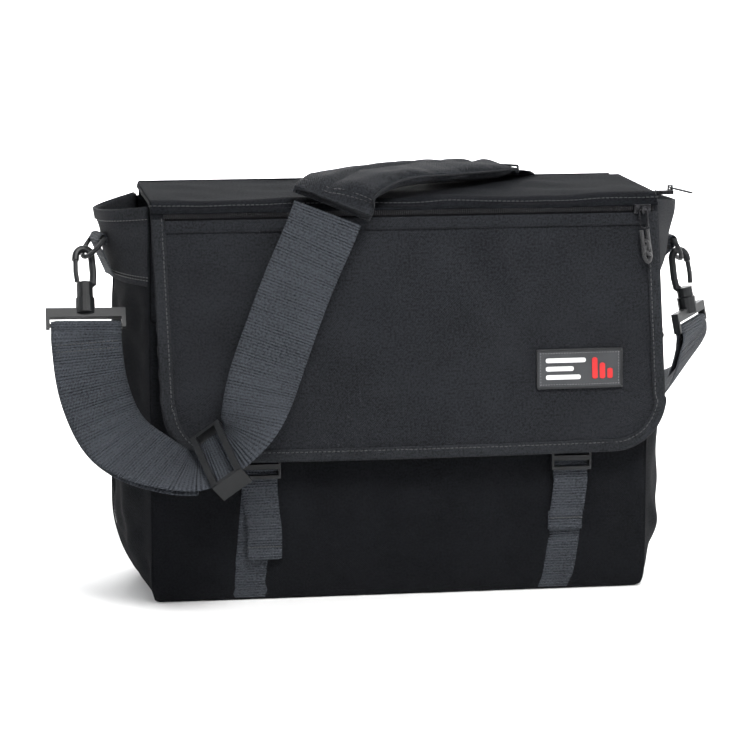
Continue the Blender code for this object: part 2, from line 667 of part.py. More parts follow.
# Hooks: D-ring bar, direction in which the ring hangs, and the end of the strap loop's bar
SIDES = {
    "left": {"bar": (-212.5, -7, 260), "along": (0.22, -0.975, 0), "hang": (-0.6, -0.25, -0.76),
             "foot": (-224.5, -35, 208), "width": (1, 0, 0), "gate": (-1, 0, 0)},
    "right": {"bar": (214.5, 15, 248), "along": (-0.1, 0.99, 0), "hang": (0.5, 0.1, -0.86),
              "foot": (231, 14, 191.5), "width": (0.56, 0.82, 0.06), "gate": (1, 0, 0)},
}
RING_REACH, RING_HALF, RING_WIRE = 18.0, 14.6, 1.8   # D-ring: depth, half width and wire radius


def ring_and_tab(word, place):
    """A D-ring and the webbing tab that holds its bar."""
    bar, along = Vector(place["bar"]), Vector(place["along"]).normalized()
    hang = Vector(place["hang"])
    hang = (hang - along * hang.dot(along)).normalized()
    half, wire = RING_HALF, RING_WIRE
    ring = [bar + along * v for v in steps(-half, half, 4)]
    ring += [bar + along * half * math.cos(t) + hang * RING_REACH * math.sin(t) ** 0.8
             for t in steps(0, math.pi, 11)[1:-1]]
    solid(f"d_ring_{word}", tube(ring, wire, 8, closed=True), "hardware", pivot=tuple(bar))
    side = -1 if word == "left" else 1
    wrap = wire + GAP + 0.9
    foot_y = bar.y - 1
    foot = Vector((side * (max(gusset_x(foot_y, GUSSET_TOP), ear_x(foot_y, GUSSET_TOP + 4)) + 2.4),
                   foot_y, GUSSET_TOP + 4))
    outward = Vector((-along.y * side, along.x * side, 0)).normalized()
    if outward.x * side < 0:
        outward = -outward
    line = [foot + outward * 1.0, bar + outward * wrap + Vector((0, 0, -3))]
    line += [bar + outward * wrap * math.cos(t) + Vector((0, 0, wrap * math.sin(t)))
             for t in steps(0, math.pi, 6)]
    line += [bar - outward * wrap * 0.6 + Vector((0, 0, -5.0))]
    rings = []
    for i, point in enumerate(line):
        ahead, behind = line[min(i + 1, len(line) - 1)], line[max(i - 1, 0)]
        normal = (ahead - behind).normalized().cross(along)
        rings.append([point + along * 11.8 * a + normal * 0.6 * b
                      for a, b in ((-1, -1), (1, -1), (1, 1), (-1, 1))])
    solid(f"tab_{word}", loft(rings), "webbing")


def snap_hook(word, place):
    """A snap hook that swivels in the strap loop, and its gate."""
    bar, along = Vector(place["bar"]), Vector(place["along"]).normalized()
    hang = Vector(place["hang"])
    hang = (hang - along * hang.dot(along)).normalized()
    apex = bar + hang * RING_REACH
    foot = Vector(place["foot"])
    down = (foot - apex).normalized()
    length = (foot - apex).length
    gate = Vector(place["gate"])
    gate = (gate - down * gate.dot(down)).normalized()

    def at(across, drop):
        return apex + gate * across + down * drop

    wide, thick = 5.8, 2.7
    arch = [at(-wide, 22.5), at(-wide - 0.6, 14), at(-wide, 4)]
    arch += [at(wide * math.cos(math.pi - t), 0.4 - 6.8 * math.sin(t)) for t in steps(0.35, math.pi - 0.2, 8)]
    arch += [at(wide + 0.2, 3.0)]
    base = [at(-wide, 21), at(-wide * 0.5, 24.5), at(0, 26)]
    barrel_top, stem_end = length - 12.0, length - 5.5
    collar = tube([at(0, 22), at(0, barrel_top - 0.5)], 6.0, 16)
    stem = tube([at(0, 25), at(0, stem_end)], 2.6, 12)
    solid(f"hook_{word}", tube(arch, thick, 10), "hardware", pivot=tuple(at(0, barrel_top)),
          add=[tube(base, thick, 10), collar, stem])
    pin = at(wide - 0.6, 20.0)
    tip = at(wide + 0.2, 3.0 + GAP + 0.1)
    solid(f"hook_gate_{word}", tube([tip, at(wide + 0.3, 12), pin], 1.9, 10), "hardware", pivot=tuple(pin))
    width = Vector(place["width"])
    width = (width - down * width.dot(down)).normalized()
    normal = width.cross(down)
    axes = (width, down, normal)
    outer = beam(at(0, length + 3.4), axes, (57, 15, 5.4))
    slot = beam(at(0, length + 5.2), axes, (51.4, 4.8, 9))
    relief = beam(at(0, length + 10.2), axes, (51.4, 6.2, 9))
    crossbar = beam(at(0, length + 8.8), axes, (56, 2.2, 2.4))
    barrel = tube([at(0, barrel_top), at(0, length)], 7.0, 16)
    bore = tube([at(0, barrel_top - 1), at(0, stem_end + 1)], 3.1, 12)
    solid(f"strap_loop_{word}", outer, "hardware", pivot=tuple(at(0, length)), cut=[slot, relief],
          then=[("UNION", crossbar), ("UNION", barrel), ("DIFFERENCE", bore)])


def strap_hardware():
    """Tabs, D-rings, hooks and strap loops on both sides."""
    for word, place in SIDES.items():
        ring_and_tab(word, place)
        snap_hook(word, place)


# Webbing closures: X at the buckle, at the tail's end and at the lower seam, and the tail's end
CLOSURES = {"left": (-103.5, -100.6, -111.0, 33.0), "right": (123.5, 120.0, 115.0, 48.0)}
PLUG_LOW, PLUG_HIGH = 92.0, 133.5


def narrow_webbing(points):
    """Make closure webbing through points, with its width along X."""
    stations = [(point, (1, 0, 0)) for point in points]
    return ribbon(frames(stations, 2), CLOSURE_WIDTH, CLOSURE_THICK)


def closures():
    """Lower strap, male half, tail, female half and flap tab of both closures."""
    for word, (x, tail_x, foot_x, tail_end) in CLOSURES.items():
        lean = (x - foot_x) / (PLUG_LOW - 6)
        near = abs(foot_x) - CLOSURE_WIDTH / 2
        lower = [(foot_x + lean * (z - 4), pocket_y(near, z) - 1.1, z) for z in (4, 20, 40, 60, 80)]
        lower.append((x, -67.3, 99))
        solid(f"closure_strap_{word}", narrow_webbing(lower), "webbing")
        back, front = -70.5, -74.8
        base = block((x - 14.5, front, PLUG_LOW), (x + 14.5, back, PLUG_LOW + 19))
        slots = [block((x - 12.9, front - 2, z), (x + 12.9, back + 2, z + 4.6)) for z in (94.4, 102.6)]
        prongs = [block((x + low, -72.4, 109), (x + high, -69.7, PLUG_HIGH))
                  for low, high in ((-12.0, -9.0), (-3.0, 3.0), (9.0, 12.0))]
        solid(f"buckle_male_{word}", base, "hardware", pivot=(x, back, PLUG_LOW), add=prongs, cut=slots)
        tail = [(x, -69.3, 98), (x, -69.4, 86), ((x + tail_x) / 2, pocket_y(x, 62) - 4.2, 62),
                (tail_x, pocket_y(x, 45) - 4.6, tail_end)]
        solid(f"closure_tail_{word}", narrow_webbing(tail), "webbing", pivot=(x, -69.3, 98))
        shell = block((x - 15, -73.8, 135), (x + 15, -67.8, 161))
        cavity = block((x - 12.8, -72.9, 133), (x + 12.8, -69.2, 157))
        solid(f"buckle_female_{word}", shell, "hardware", pivot=(x, -71, 135), cut=[cavity])
        edge = x + math.copysign(CLOSURE_WIDTH / 2, x)
        tab = [(x, flap_y(edge, z) + FLAP_WALL + 1.2, z) for z in (161.6, 180, 200, 215)]
        solid(f"closure_tab_{word}", narrow_webbing(tab), "webbing")


def main():
    """Build the whole bag."""
    clear_scene()
    panel_walls()
    side_walls()
    expansion_zip()
    expansion_sliders()
    main_zip()
    flap_panels()
    flap_zip()
    label()
    straps()
    shoulder_pad()
    tri_glide()
    strap_hardware()
    closures()


main()
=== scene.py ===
"""Looks of the messenger bag: soft panels, webbing, zips, moulded hardware, studio and camera.

Shapes are worked out in millimetres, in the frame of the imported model, and made in metres.
"""
import math

import bmesh
import bpy
import numpy as np
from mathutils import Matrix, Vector


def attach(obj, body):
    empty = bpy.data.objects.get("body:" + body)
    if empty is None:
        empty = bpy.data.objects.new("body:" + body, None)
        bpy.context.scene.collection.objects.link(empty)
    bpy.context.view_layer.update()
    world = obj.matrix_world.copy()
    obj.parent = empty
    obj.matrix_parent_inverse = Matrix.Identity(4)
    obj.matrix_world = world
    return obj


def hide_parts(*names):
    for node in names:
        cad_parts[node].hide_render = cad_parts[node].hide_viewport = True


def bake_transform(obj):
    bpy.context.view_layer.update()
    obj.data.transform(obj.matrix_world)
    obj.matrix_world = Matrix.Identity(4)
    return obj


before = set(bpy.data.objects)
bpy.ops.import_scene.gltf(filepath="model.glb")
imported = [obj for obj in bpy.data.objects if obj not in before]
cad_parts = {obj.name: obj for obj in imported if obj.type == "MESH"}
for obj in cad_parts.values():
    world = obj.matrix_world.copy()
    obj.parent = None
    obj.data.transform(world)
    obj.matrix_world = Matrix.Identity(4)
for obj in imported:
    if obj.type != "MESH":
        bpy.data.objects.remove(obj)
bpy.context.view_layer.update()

MM = 0.001

# Driving dimensions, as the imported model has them
HALF_WIDTH, HALF_DEPTH = 180.0, 60.0
GUSSET_TOP, GUSSET_BULGE, BULGE_START, CREST_Y = 232.0, 23.0, 65.0, 12.0
EAR_LOW, EAR_HIGH = 24.0, 34.0
RIM_FRONT, RIM_BACK, RIM_DIP = 287.0, 284.0, 7.0
POCKET_TOP, POCKET_BULGE = 205.0, 7.0
FLAP_TOP, FLAP_FRONT, FLAP_STANDOFF, FLAP_HEM, FLAP_EDGE = 290.5, -66.0, 18.0, 105.0, 8.0
FLAP_LEFT, FLAP_RIGHT, FLAP_CORNER = (-180.0, -173.0), (186.0, 194.0), 40.0
FOOT_HEIGHT, FOOT_TUCK = 15.0, 4.2
ZIP_Z = 282.0          # flap zip
ZIP_DEPTH = 22.0       # expansion zip


# Materials

class Finish:
    """A Principled material, with short ways to add the nodes that feed it."""

    def __init__(self, name, roughness, sheen=0.0, metallic=0.0, specular=0.5, coat=0.0):
        self.material = bpy.data.materials.new(name)
        self.material.use_nodes = True
        self.nodes, self.links = self.material.node_tree.nodes, self.material.node_tree.links
        self.shader = self.nodes["Principled BSDF"]
        for socket, value in (("Roughness", roughness), ("Metallic", metallic), ("Coat Weight", coat),
                              ("Specular IOR Level", specular), ("Sheen Weight", sheen),
                              ("Sheen Roughness", 0.5)):
            self.shader.inputs[socket].default_value = value

    def feed(self, **sockets):
        """Link outputs to the shader's inputs, named with _ for a space."""
        for name, output in sockets.items():
            self.links.new(output, self.shader.inputs[name.replace("_", " ")])

    def where(self):
        """Place on the object."""
        return self.nodes.new("ShaderNodeTexCoord").outputs["Object"]

    def split(self, vector):
        """The three coordinates of a vector."""
        node = self.nodes.new("ShaderNodeSeparateXYZ")
        self.links.new(vector, node.inputs[0])
        return node.outputs

    def math(self, operation, a, b=None):
        """Add a Math node fed by sockets or numbers."""
        node = self.nodes.new("ShaderNodeMath")
        node.operation = operation
        for place, value in enumerate((a, b)):
            if isinstance(value, (int, float)):
                node.inputs[place].default_value = value
            elif value is not None:
                self.links.new(value, node.inputs[place])
        return node.outputs[0]

    def total(self, *terms):
        """Add up (socket, factor) terms."""
        scaled = [socket if factor == 1 else self.math("MULTIPLY", socket, factor)
                  for socket, factor in terms]
        result = scaled[0]
        for term in scaled[1:]:
            result = self.math("ADD", result, term)
        return result

    def wave(self, value, pitch):
        """Sine that changes sign once every pitch."""
        return self.math("SINE", self.math("MULTIPLY", value, math.pi / pitch))

    def noise(self, vector, scale, detail=3.0, roughness=0.55):
        """Add a noise texture and return its factor."""
        node = self.nodes.new("ShaderNodeTexNoise")
        for socket, value in (("Scale", scale), ("Detail", detail), ("Roughness", roughness)):
            node.inputs[socket].default_value = value
        self.links.new(vector, node.inputs["Vector"])
        return node.outputs["Fac"]

    def ramp(self, factor, low, dark, high, light):
        """Blend from dark to light between two values of a factor."""
        node = self.nodes.new("ShaderNodeValToRGB")
        for element, place, colour in zip(node.color_ramp.elements, (low, high), (dark, light)):
            element.position = place
            element.color = (*colour, 1.0)
        self.links.new(factor, node.inputs["Fac"])
        return node.outputs["Color"]

    def bump(self, height, distance, strength=1.0, below=None):
        """Add a bump whose distance is in metres."""
        node = self.nodes.new("ShaderNodeBump")
        node.inputs["Distance"].default_value = distance
        node.inputs["Strength"].default_value = strength
        self.links.new(height, node.inputs["Height"])
        if below is not None:
            self.links.new(below, node.inputs["Normal"])
        return node.outputs["Normal"]


def woven(name, dark, light, thread, bump, sheen, roughness=0.85, stretch=(1.0, 1.0), rib=0.0, gloss=0.09):
    """Woven cloth: over-and-under threads along the piece's own cloth coordinates."""
    look = Finish(name, roughness, sheen, specular=gloss)
    cloth = look.nodes.new("ShaderNodeAttribute")
    cloth.attribute_name = "cloth"
    place = cloth.outputs["Vector"]
    along, across = look.split(place)[:2]
    wave_u, wave_v = look.wave(along, thread * stretch[0]), look.wave(across, thread * stretch[1])
    over = look.math("GREATER_THAN", look.math("MULTIPLY", wave_u, wave_v), 0.0)
    under = look.math("SUBTRACT", 1.0, over)
    height = look.math("ADD", look.math("MULTIPLY", look.math("ABSOLUTE", wave_u), over),
                       look.math("MULTIPLY", look.math("ABSOLUTE", wave_v), under))
    if rib:
        height = look.total((height, 1), (look.math("ABSOLUTE", look.wave(along, rib)), 1.6))
    slub = look.noise(place, 620.0, 3.0, 0.65)
    patch = look.noise(place, 22.0, 4.0)
    tone = look.total((height, 0.12 if rib else 0.22), (slub, 1.1), (patch, 0.35))
    weave = look.bump(height, bump)
    look.feed(Base_Color=look.ramp(tone, 0.58, dark, 1.0, light),
              Roughness=look.math("ADD", look.math("MULTIPLY", patch, 0.18), roughness - 0.1),
              Normal=look.bump(look.noise(place, 160.0, 3.0), 0.00035, 0.6, weave))
    return look.material


def moulded(name, dark, light, roughness, grain=0.00006, coat=0.0):
    """Moulded plastic with a fine spark-eroded grain and slightly polished wear."""
    look = Finish(name, roughness, specular=0.28, coat=coat)
    where = look.where()
    broad = look.noise(where, 70.0, 4.0)
    look.feed(Base_Color=look.ramp(broad, 0.3, dark, 0.75, light),
              Roughness=look.math("ADD", look.math("MULTIPLY", broad, 0.2), roughness - 0.1),
              Normal=look.bump(look.noise(where, 2600.0, 2.0), grain, 0.7))
    return look.material


def painted(name, dark, light, roughness):
    """Black-painted zinc, rubbed a little brighter in places."""
    look = Finish(name, roughness, metallic=0.7)
    worn = look.noise(look.where(), 380.0, 5.0, 0.7)
    look.feed(Base_Color=look.ramp(worn, 0.45, dark, 0.8, light),
              Roughness=look.math("ADD", look.math("MULTIPLY", worn, 0.3), roughness - 0.15),
              Normal=look.bump(worn, 0.00004))
    return look.material


def braided(name, dark, light, strand=0.0011):
    """Braided cord: crossing strands that spiral both ways round it."""
    look = Finish(name, 0.5, sheen=0.2)
    where = look.where()
    x, y, z = look.split(where)
    across = look.math("ADD", x, y)
    waves = [look.math("ABSOLUTE", look.wave(look.total((z, 1), (across, sign * 1.0)), strand))
             for sign in (1, -1)]
    height = look.math("MAXIMUM", *waves)
    mixed = look.math("MULTIPLY", height, look.noise(where, 1500.0))
    look.feed(Base_Color=look.ramp(mixed, 0.15, dark, 0.7, light), Normal=look.bump(height, 0.0003))
    return look.material


def thread_material(name, dark, light):
    """Sewing thread with a twist."""
    look = Finish(name, 0.55, sheen=0.3)
    twist = look.noise(look.where(), 3000.0, 1.0)
    look.feed(Base_Color=look.ramp(twist, 0.3, dark, 0.7, light), Normal=look.bump(twist, 0.0001))
    return look.material


CORDURA = woven("cordura_cloth", (0.0020, 0.0022, 0.0028), (0.0215, 0.0232, 0.0275), 0.00085, 0.00034, 0.02)
# Darker copy of the flap's cordura for the lower front, the gussets and the seam piping: painted shade for
# the light that falls off low down and at the sides.
CORDURA_PAINTED_SHADE = woven("cordura_painted_shade", (0.0010, 0.0012, 0.0016), (0.0100, 0.0108, 0.0130), 0.00085, 0.00034,
                     0.01, gloss=0.05)
# Darker, less glossy copy of the cordura for the storm cover on top: its darker colour is painted shade that
# tones down the light falling on the top.
TOP_CLOTH_PAINTED_SHADE = woven("top_cloth_painted_shade", (0.0018, 0.0020, 0.0024), (0.0150, 0.0162, 0.0190), 0.00085, 0.00030, 0.0,
                  gloss=0.02)
LINING = woven("lining_cloth", (0.007, 0.008, 0.009), (0.030, 0.032, 0.036), 0.0005, 0.00012, 0.04)
WEBBING = woven("webbing_cloth", (0.0016, 0.0018, 0.0022), (0.056, 0.062, 0.073), 0.0011, 0.00055, 0.01,
                roughness=0.62, stretch=(1.6, 1.0), rib=0.0021)
TAPE = woven("tape_cloth", (0.0030, 0.0032, 0.0038), (0.024, 0.026, 0.030), 0.0008, 0.00026, 0.03,
             stretch=(1.0, 1.4))
# Black zip tape, made darker still so that the flap zip reads as the shadow under the storm cover: its own
# black plus painted shade.
ZIP_TAPE_BLACK_AND_SHADE = woven("zip_tape_cloth", (0.002, 0.002, 0.003), (0.010, 0.010, 0.012), 0.0005, 0.00012, 0.02)
PLASTIC = moulded("moulded_nylon", (0.006, 0.0065, 0.0072), (0.014, 0.015, 0.0165), 0.46)
RUBBER = moulded("label_rubber", (0.034, 0.036, 0.039), (0.050, 0.052, 0.056), 0.62, 0.00005)
RUBBER_EDGE = moulded("label_rim", (0.012, 0.013, 0.014), (0.020, 0.021, 0.023), 0.55, 0.00005)
MARK_PALE = moulded("label_pale", (0.66, 0.66, 0.66), (0.82, 0.82, 0.82), 0.5, 0.00004)
MARK_RED = moulded("label_red", (0.42, 0.020, 0.022), (0.60, 0.032, 0.032), 0.5, 0.00004)
BOARD = moulded("board_plastic", (0.020, 0.020, 0.021), (0.034, 0.034, 0.036), 0.5, 0.0001)
ZINC = painted("painted_zinc", (0.012, 0.012, 0.014), (0.070, 0.070, 0.075), 0.35)
# Black nylon coil, made darker still so that the flap zip reads as the shadow under the storm cover: its own
# black plus painted shade.
COIL_BLACK_AND_SHADE = moulded("zip_coil", (0.004, 0.004, 0.005), (0.012, 0.012, 0.014), 0.34, 0.00003, coat=0.1)
CORD_BRAID = braided("cord_braid", (0.003, 0.003, 0.004), (0.030, 0.031, 0.034))
THREAD = thread_material("sewing_thread", (0.005, 0.0055, 0.006), (0.022, 0.024, 0.027))
THREAD_PALE = thread_material("label_thread", (0.10, 0.10, 0.11), (0.20, 0.20, 0.21))


# Mesh helpers. Points are in millimetres; "cloth" holds each point's place on the uncut cloth.

def unit(vectors):
    """Scale vectors to length 1."""
    vectors = np.asarray(vectors, float)
    return vectors / np.maximum(np.linalg.norm(vectors, axis=-1, keepdims=True), 1e-9)


def at(x, y, z):
    """Points from three coordinates, any of which may be one number."""
    return np.stack(np.broadcast_arrays(x, y, z), axis=-1).astype(float)


def travelled(line):
    """Distance along a line of points, from its first."""
    return np.concatenate([[0], np.cumsum(np.linalg.norm(np.diff(line, axis=0), axis=1))])


def nearest(distances, place):
    """Index of the entry closest to a value."""
    return int(np.argmin(np.abs(distances - place)))


def rounded_foot(points):
    """Draw the lowest cloth in, so that the body stands on a soft rounded edge."""
    low = np.clip(1 - points[:, 2:3] / FOOT_HEIGHT, 0, 1)
    tuck = FOOT_TUCK * (1 - np.sqrt(1 - low ** 2))
    half = np.array((HALF_WIDTH, HALF_DEPTH))
    drawn = points.copy()
    drawn[:, :2] = points[:, :2] * (1 - tuck / half)
    return drawn


def new_piece(name, parts, material, body=None, replaces=()):
    """Make one mesh object from (points, faces, cloth) parts and put it on its body."""
    points, faces, cloth, start = [], [], [], 0
    for part_points, part_faces, part_cloth in parts:
        points.append(rounded_foot(np.asarray(part_points, float)))
        cloth.append(np.asarray(part_cloth, float))
        faces += [[start + corner for corner in face] for face in part_faces]
        start += len(part_points)
    mesh = bpy.data.meshes.new(name)
    mesh.from_pydata((np.concatenate(points) * MM).tolist(), [], faces)
    mesh.update()
    made = bmesh.new()
    made.from_mesh(mesh)
    bmesh.ops.recalc_face_normals(made, faces=made.faces)
    made.to_mesh(mesh)
    made.free()
    place = mesh.attributes.new("cloth", "FLOAT_VECTOR", "POINT")
    place.data.foreach_set("vector", (np.concatenate(cloth) * MM).astype(np.float32).ravel())
    mesh.polygons.foreach_set("use_smooth", [True] * len(mesh.polygons))
    mesh.materials.append(material)
    piece = bpy.data.objects.new(name, mesh)
    bpy.context.scene.collection.objects.link(piece)
    if body:
        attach(piece, body)
    if replaces:
        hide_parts(*replaces)
    return piece


def strip_faces(rows, columns, closed=False):
    """Quads of a grid of points, whose second direction may close on itself."""
    faces = []
    for i in range(rows - 1):
        for j in range(columns if closed else columns - 1):
            k = (j + 1) % columns
            faces.append([i * columns + j, (i + 1) * columns + j, (i + 1) * columns + k, i * columns + k])
    return faces


def bar_faces(rows, columns):
    """Faces of a closed bar: its sides and its two ends."""
    ends = [list(range(columns)), [(rows - 1) * columns + j for j in reversed(range(columns))]]
    return strip_faces(rows, columns, closed=True) + ends


def repeated(faces, step, times):
    """The same faces for one copy of a shape after another."""
    return [[step * k + corner for corner in face] for k in range(times) for face in faces]


def cloth_of(grid):
    """Distance along both directions of a grid, averaged over the other one."""
    rows, columns = grid.shape[:2]
    down = np.linalg.norm(np.diff(grid, axis=0), axis=2).mean(axis=1)
    along = np.linalg.norm(np.diff(grid, axis=1), axis=2).mean(axis=0)
    u = np.concatenate([[0], np.cumsum(down)])[:, None] * np.ones((1, columns))
    v = np.concatenate([[0], np.cumsum(along)])[None, :] * np.ones((rows, 1))
    return np.stack([v, u, 0 * u], axis=2)


def normals_of(grid):
    """Unit normals of a grid surface."""
    return unit(np.cross(np.gradient(grid, axis=0), np.gradient(grid, axis=1)))


def sheet_part(grid, thick):
    """Closed sheet: its outer face on the grid and its inner face one thickness behind."""
    rows, columns = grid.shape[:2]
    cloth = cloth_of(grid).reshape(-1, 3)
    outer, inner = grid.reshape(-1, 3), (grid - normals_of(grid) * thick).reshape(-1, 3)
    count = rows * columns
    faces = strip_faces(rows, columns)
    faces += [[count + corner for corner in reversed(face)] for face in faces]
    rim = list(range(columns))
    rim += [i * columns + columns - 1 for i in range(1, rows)]
    rim += [(rows - 1) * columns + j for j in range(columns - 2, -1, -1)]
    rim += [i * columns for i in range(rows - 2, 0, -1)]
    for a, b in zip(rim, rim[1:] + rim[:1]):
        faces.append([a, b, count + b, count + a])
    return np.concatenate([outer, inner]), faces, np.concatenate([cloth, cloth])


def swept_part(centre, across, normal, profile):
    """Closed bar: a loop profile of (across, normal) pairs carried along a line."""
    profile = np.asarray(profile, float)
    if profile.ndim == 2:
        profile = np.repeat(profile[None], len(centre), axis=0)
    rings = (centre[:, None] + across[:, None] * profile[..., 0:1] + normal[:, None] * profile[..., 1:2])
    faces = bar_faces(*rings.shape[:2])
    round_way = np.linalg.norm(np.diff(np.concatenate([profile[0], profile[0][:1]]), axis=0), axis=1)
    reach = np.concatenate([[0], np.cumsum(round_way)[:-1]])
    cloth = at(travelled(centre)[:, None], reach[None, :], 0)
    return rings.reshape(-1, 3), faces, cloth.reshape(-1, 3)


def tube_part(line, radius, sides=10):
    """Round bar along a line; the radius may vary along it."""
    line = np.asarray(line, float)
    ahead = unit(np.gradient(line, axis=0))
    side = np.cross(ahead[0], (0.3, 0.5, 0.8))
    across = []
    for step in ahead:
        side = unit(side - step * side.dot(step))
        across.append(side)
    across = np.array(across)
    normal = np.cross(ahead, across)
    turns = np.linspace(0, 2 * math.pi, sides, endpoint=False)
    loop = np.stack([np.cos(turns), np.sin(turns)], axis=1)
    radius = np.broadcast_to(np.asarray(radius, float), (len(line),))
    return swept_part(line, across, normal, loop[None] * radius[:, None, None])


def spread(values, per_span):
    """Smooth curve through rows of values, per_span samples a span."""
    values = np.asarray(values, float)
    padded = np.vstack([values[:1], values, values[-1:]])
    t = np.linspace(0, 1, per_span, endpoint=False)[:, None]
    result = []
    for span in range(len(values) - 1):
        before, start, end, after = padded[span:span + 4]
        result.append(before * (-0.5 * t + t * t - 0.5 * t ** 3) + start * (1 - 2.5 * t * t + 1.5 * t ** 3)
                      + end * (0.5 * t + 2 * t * t - 1.5 * t ** 3) + after * (-0.5 * t * t + 0.5 * t ** 3))
    return np.vstack(result + [values[-1:]])


def resample(rows, pitch):
    """Rows of values, of which the first three are a place, read again at an even pitch."""
    length = travelled(rows[:, :3])
    count = max(int(round(length[-1] / pitch)), 2)
    marks = np.linspace(0, length[-1], count + 1)
    return np.stack([np.interp(marks, length, rows[:, k]) for k in range(rows.shape[1])], axis=1)


def run_frames(stations, per_span=16):
    """Centre, direction, width vector and normal along a strap's stations."""
    line = spread([tuple(centre) + tuple(across) for centre, across in stations], per_span)
    centre = line[:, :3]
    ahead = unit(np.gradient(centre, axis=0))
    across = line[:, 3:] - ahead * (line[:, 3:] * ahead).sum(axis=1, keepdims=True)
    across = unit(across)
    return centre, ahead, across, np.cross(ahead, across)


def webbing_part(path, width, thick, rib=1.6, steps=14, wave=0.055):
    """Flat webbing with real cross ribs, along rows of (point, width vector, normal)."""
    rows = resample(path, rib / 3)
    centre, across, normal = rows[:, :3], unit(rows[:, 3:6]), unit(rows[:, 6:9])
    edge = np.linspace(-1, 1, steps)
    round_off = np.sqrt(np.maximum(1 - np.abs(edge) ** 14, 0.02))
    selvedge = 1 + 0.10 * np.exp(-((np.abs(edge) - 0.93) / 0.04) ** 2)
    crest = np.cos(np.arange(len(rows)) * 2 * math.pi / 3)[:, None]
    half = thick / 2 * round_off * selvedge
    top = half[None] + wave * crest * round_off[None]
    low = -half[None] + wave * crest * round_off[None]
    wide = np.broadcast_to(edge * width / 2, top.shape)
    upper = np.stack([wide, top], axis=2)
    lower = np.stack([wide, low], axis=2)[:, ::-1]
    profile = np.concatenate([upper, lower], axis=1)
    points, faces, _ = swept_part(centre, across, normal, profile)
    reach = np.concatenate([edge, edge[::-1]]) * width / 2
    cloth = at(travelled(centre)[:, None], reach[None, :], 0)
    return points, faces, cloth.reshape(-1, 3)


def flat_path(marks, across, per_span):
    """Webbing path through marks, with one width direction all along."""
    line = spread(marks, per_span) if per_span else np.asarray(marks)
    across = np.broadcast_to(np.asarray(across, float), line.shape)
    return np.hstack([line, across, unit(np.cross(unit(np.gradient(line, axis=0)), across))])


def stitch_part(line, normal, pitch=3.3, length=2.5, radius=0.34, lift=0.12):
    """Row of sewing stitches along a line that lies on cloth."""
    rows = resample(np.hstack([line, np.broadcast_to(normal, line.shape)]), pitch)
    centre, up = rows[:, :3], unit(rows[:, 3:])
    ahead = unit(np.gradient(centre, axis=0))
    side = np.cross(ahead, up)
    turns = np.linspace(0, 2 * math.pi, 6, endpoint=False)
    ring = [(along, swell * math.cos(t), swell * math.sin(t) - dip)
            for along, swell, dip in ((-1, 0.25, 0.8), (-0.6, 0.9, 0.1), (0.6, 0.9, 0.1), (1, 0.25, 0.8))
            for t in turns]
    ring = np.array(ring) * (length / 2, radius, radius)
    points = (centre[:, None] + ahead[:, None] * ring[None, :, 0:1] + side[:, None] * ring[None, :, 1:2]
              + up[:, None] * (ring[None, :, 2:3] + lift))
    faces = repeated(bar_faces(4, 6), len(ring), len(centre))
    points = points.reshape(-1, 3)
    return points, faces, points


def teeth_part(line, up, across, wide, tall, pitch=1.5):
    """Coil of a nylon zip: one rounded turn after another across the chain."""
    rows = np.hstack([line, np.broadcast_to(up, line.shape), np.broadcast_to(across, line.shape)])
    rows = resample(rows, pitch)
    centre, face, side = rows[:, :3], unit(rows[:, 3:6]), unit(rows[:, 6:9])
    ahead = unit(np.gradient(centre, axis=0))
    turns = np.linspace(0, 2 * math.pi, 6, endpoint=False)
    shape = ((-1, 0.4, -0.3), (-0.8, 1, 0), (-0.12, 1, 0.08), (0.12, 1, 0.08), (0.8, 1, 0), (1, 0.4, -0.3))
    rings = [(0.36 * pitch * shrink * math.cos(t), place * wide / 2, tall * 0.5 * shrink * math.sin(t) + sag)
             for place, shrink, sag in shape for t in turns]
    rings = np.array(rings)
    points = (centre[:, None] + ahead[:, None] * rings[None, :, 0:1] + side[:, None] * rings[None, :, 1:2]
              + face[:, None] * rings[None, :, 2:3])
    faces = repeated(bar_faces(6, 6), len(rings), len(centre))
    points = points.reshape(-1, 3)
    return points, faces, points


def ripple(a, b, scale, seed, waves=7, turn=(0, math.pi)):
    """Smooth random waves of about unit height over two coordinates."""
    rng = np.random.default_rng(seed)
    total = 0
    for _ in range(waves):
        angle, pitch = rng.uniform(*turn), scale * rng.uniform(0.6, 1.7)
        total = total + np.sin(2 * math.pi * (a * math.cos(angle) + b * math.sin(angle)) / pitch
                               + rng.uniform(0, 2 * math.pi))
    return total / math.sqrt(waves)


def crease(a, b, start, end, width, height):
    """Soft ridge along a line between two places, fading towards both its ends."""
    start, end = np.asarray(start, float), np.asarray(end, float)
    ahead = end - start
    reach = np.linalg.norm(ahead)
    share = ((a - start[0]) * ahead[0] + (b - start[1]) * ahead[1]) / reach ** 2
    off = ((a - start[0]) * -ahead[1] + (b - start[1]) * ahead[0]) / reach
    fade = np.clip(share * (1 - share) * 4, 0, 1) ** 0.7
    return height * fade * np.exp(-(off / width) ** 2)


def creases(a, b, *lines):
    """Sum of creases, each given as (start, end, width, height)."""
    return sum(crease(a, b, *line) for line in lines)


def ease(value):
    """Smooth step from 0 to 1."""
    value = np.clip(value, 0, 1)
    return value * value * (3 - 2 * value)


# Surfaces of the bag

def side_shape(y):
    """Fullness of the sides across the depth, 1 at the crest and 0 at the corners."""
    return 1 - ((y - CREST_Y) / np.where(y < CREST_Y, HALF_DEPTH + CREST_Y, HALF_DEPTH - CREST_Y)) ** 2


def gusset_x(y, z):
    """Outer face of a gusset, as a distance from the middle."""
    rise = 1 - np.clip(1 - z / BULGE_START, 0, 1) ** 2.2
    return HALF_WIDTH + GUSSET_BULGE * rise * (1 - 0.13 * ease((z - 150) / 82)) * side_shape(y)


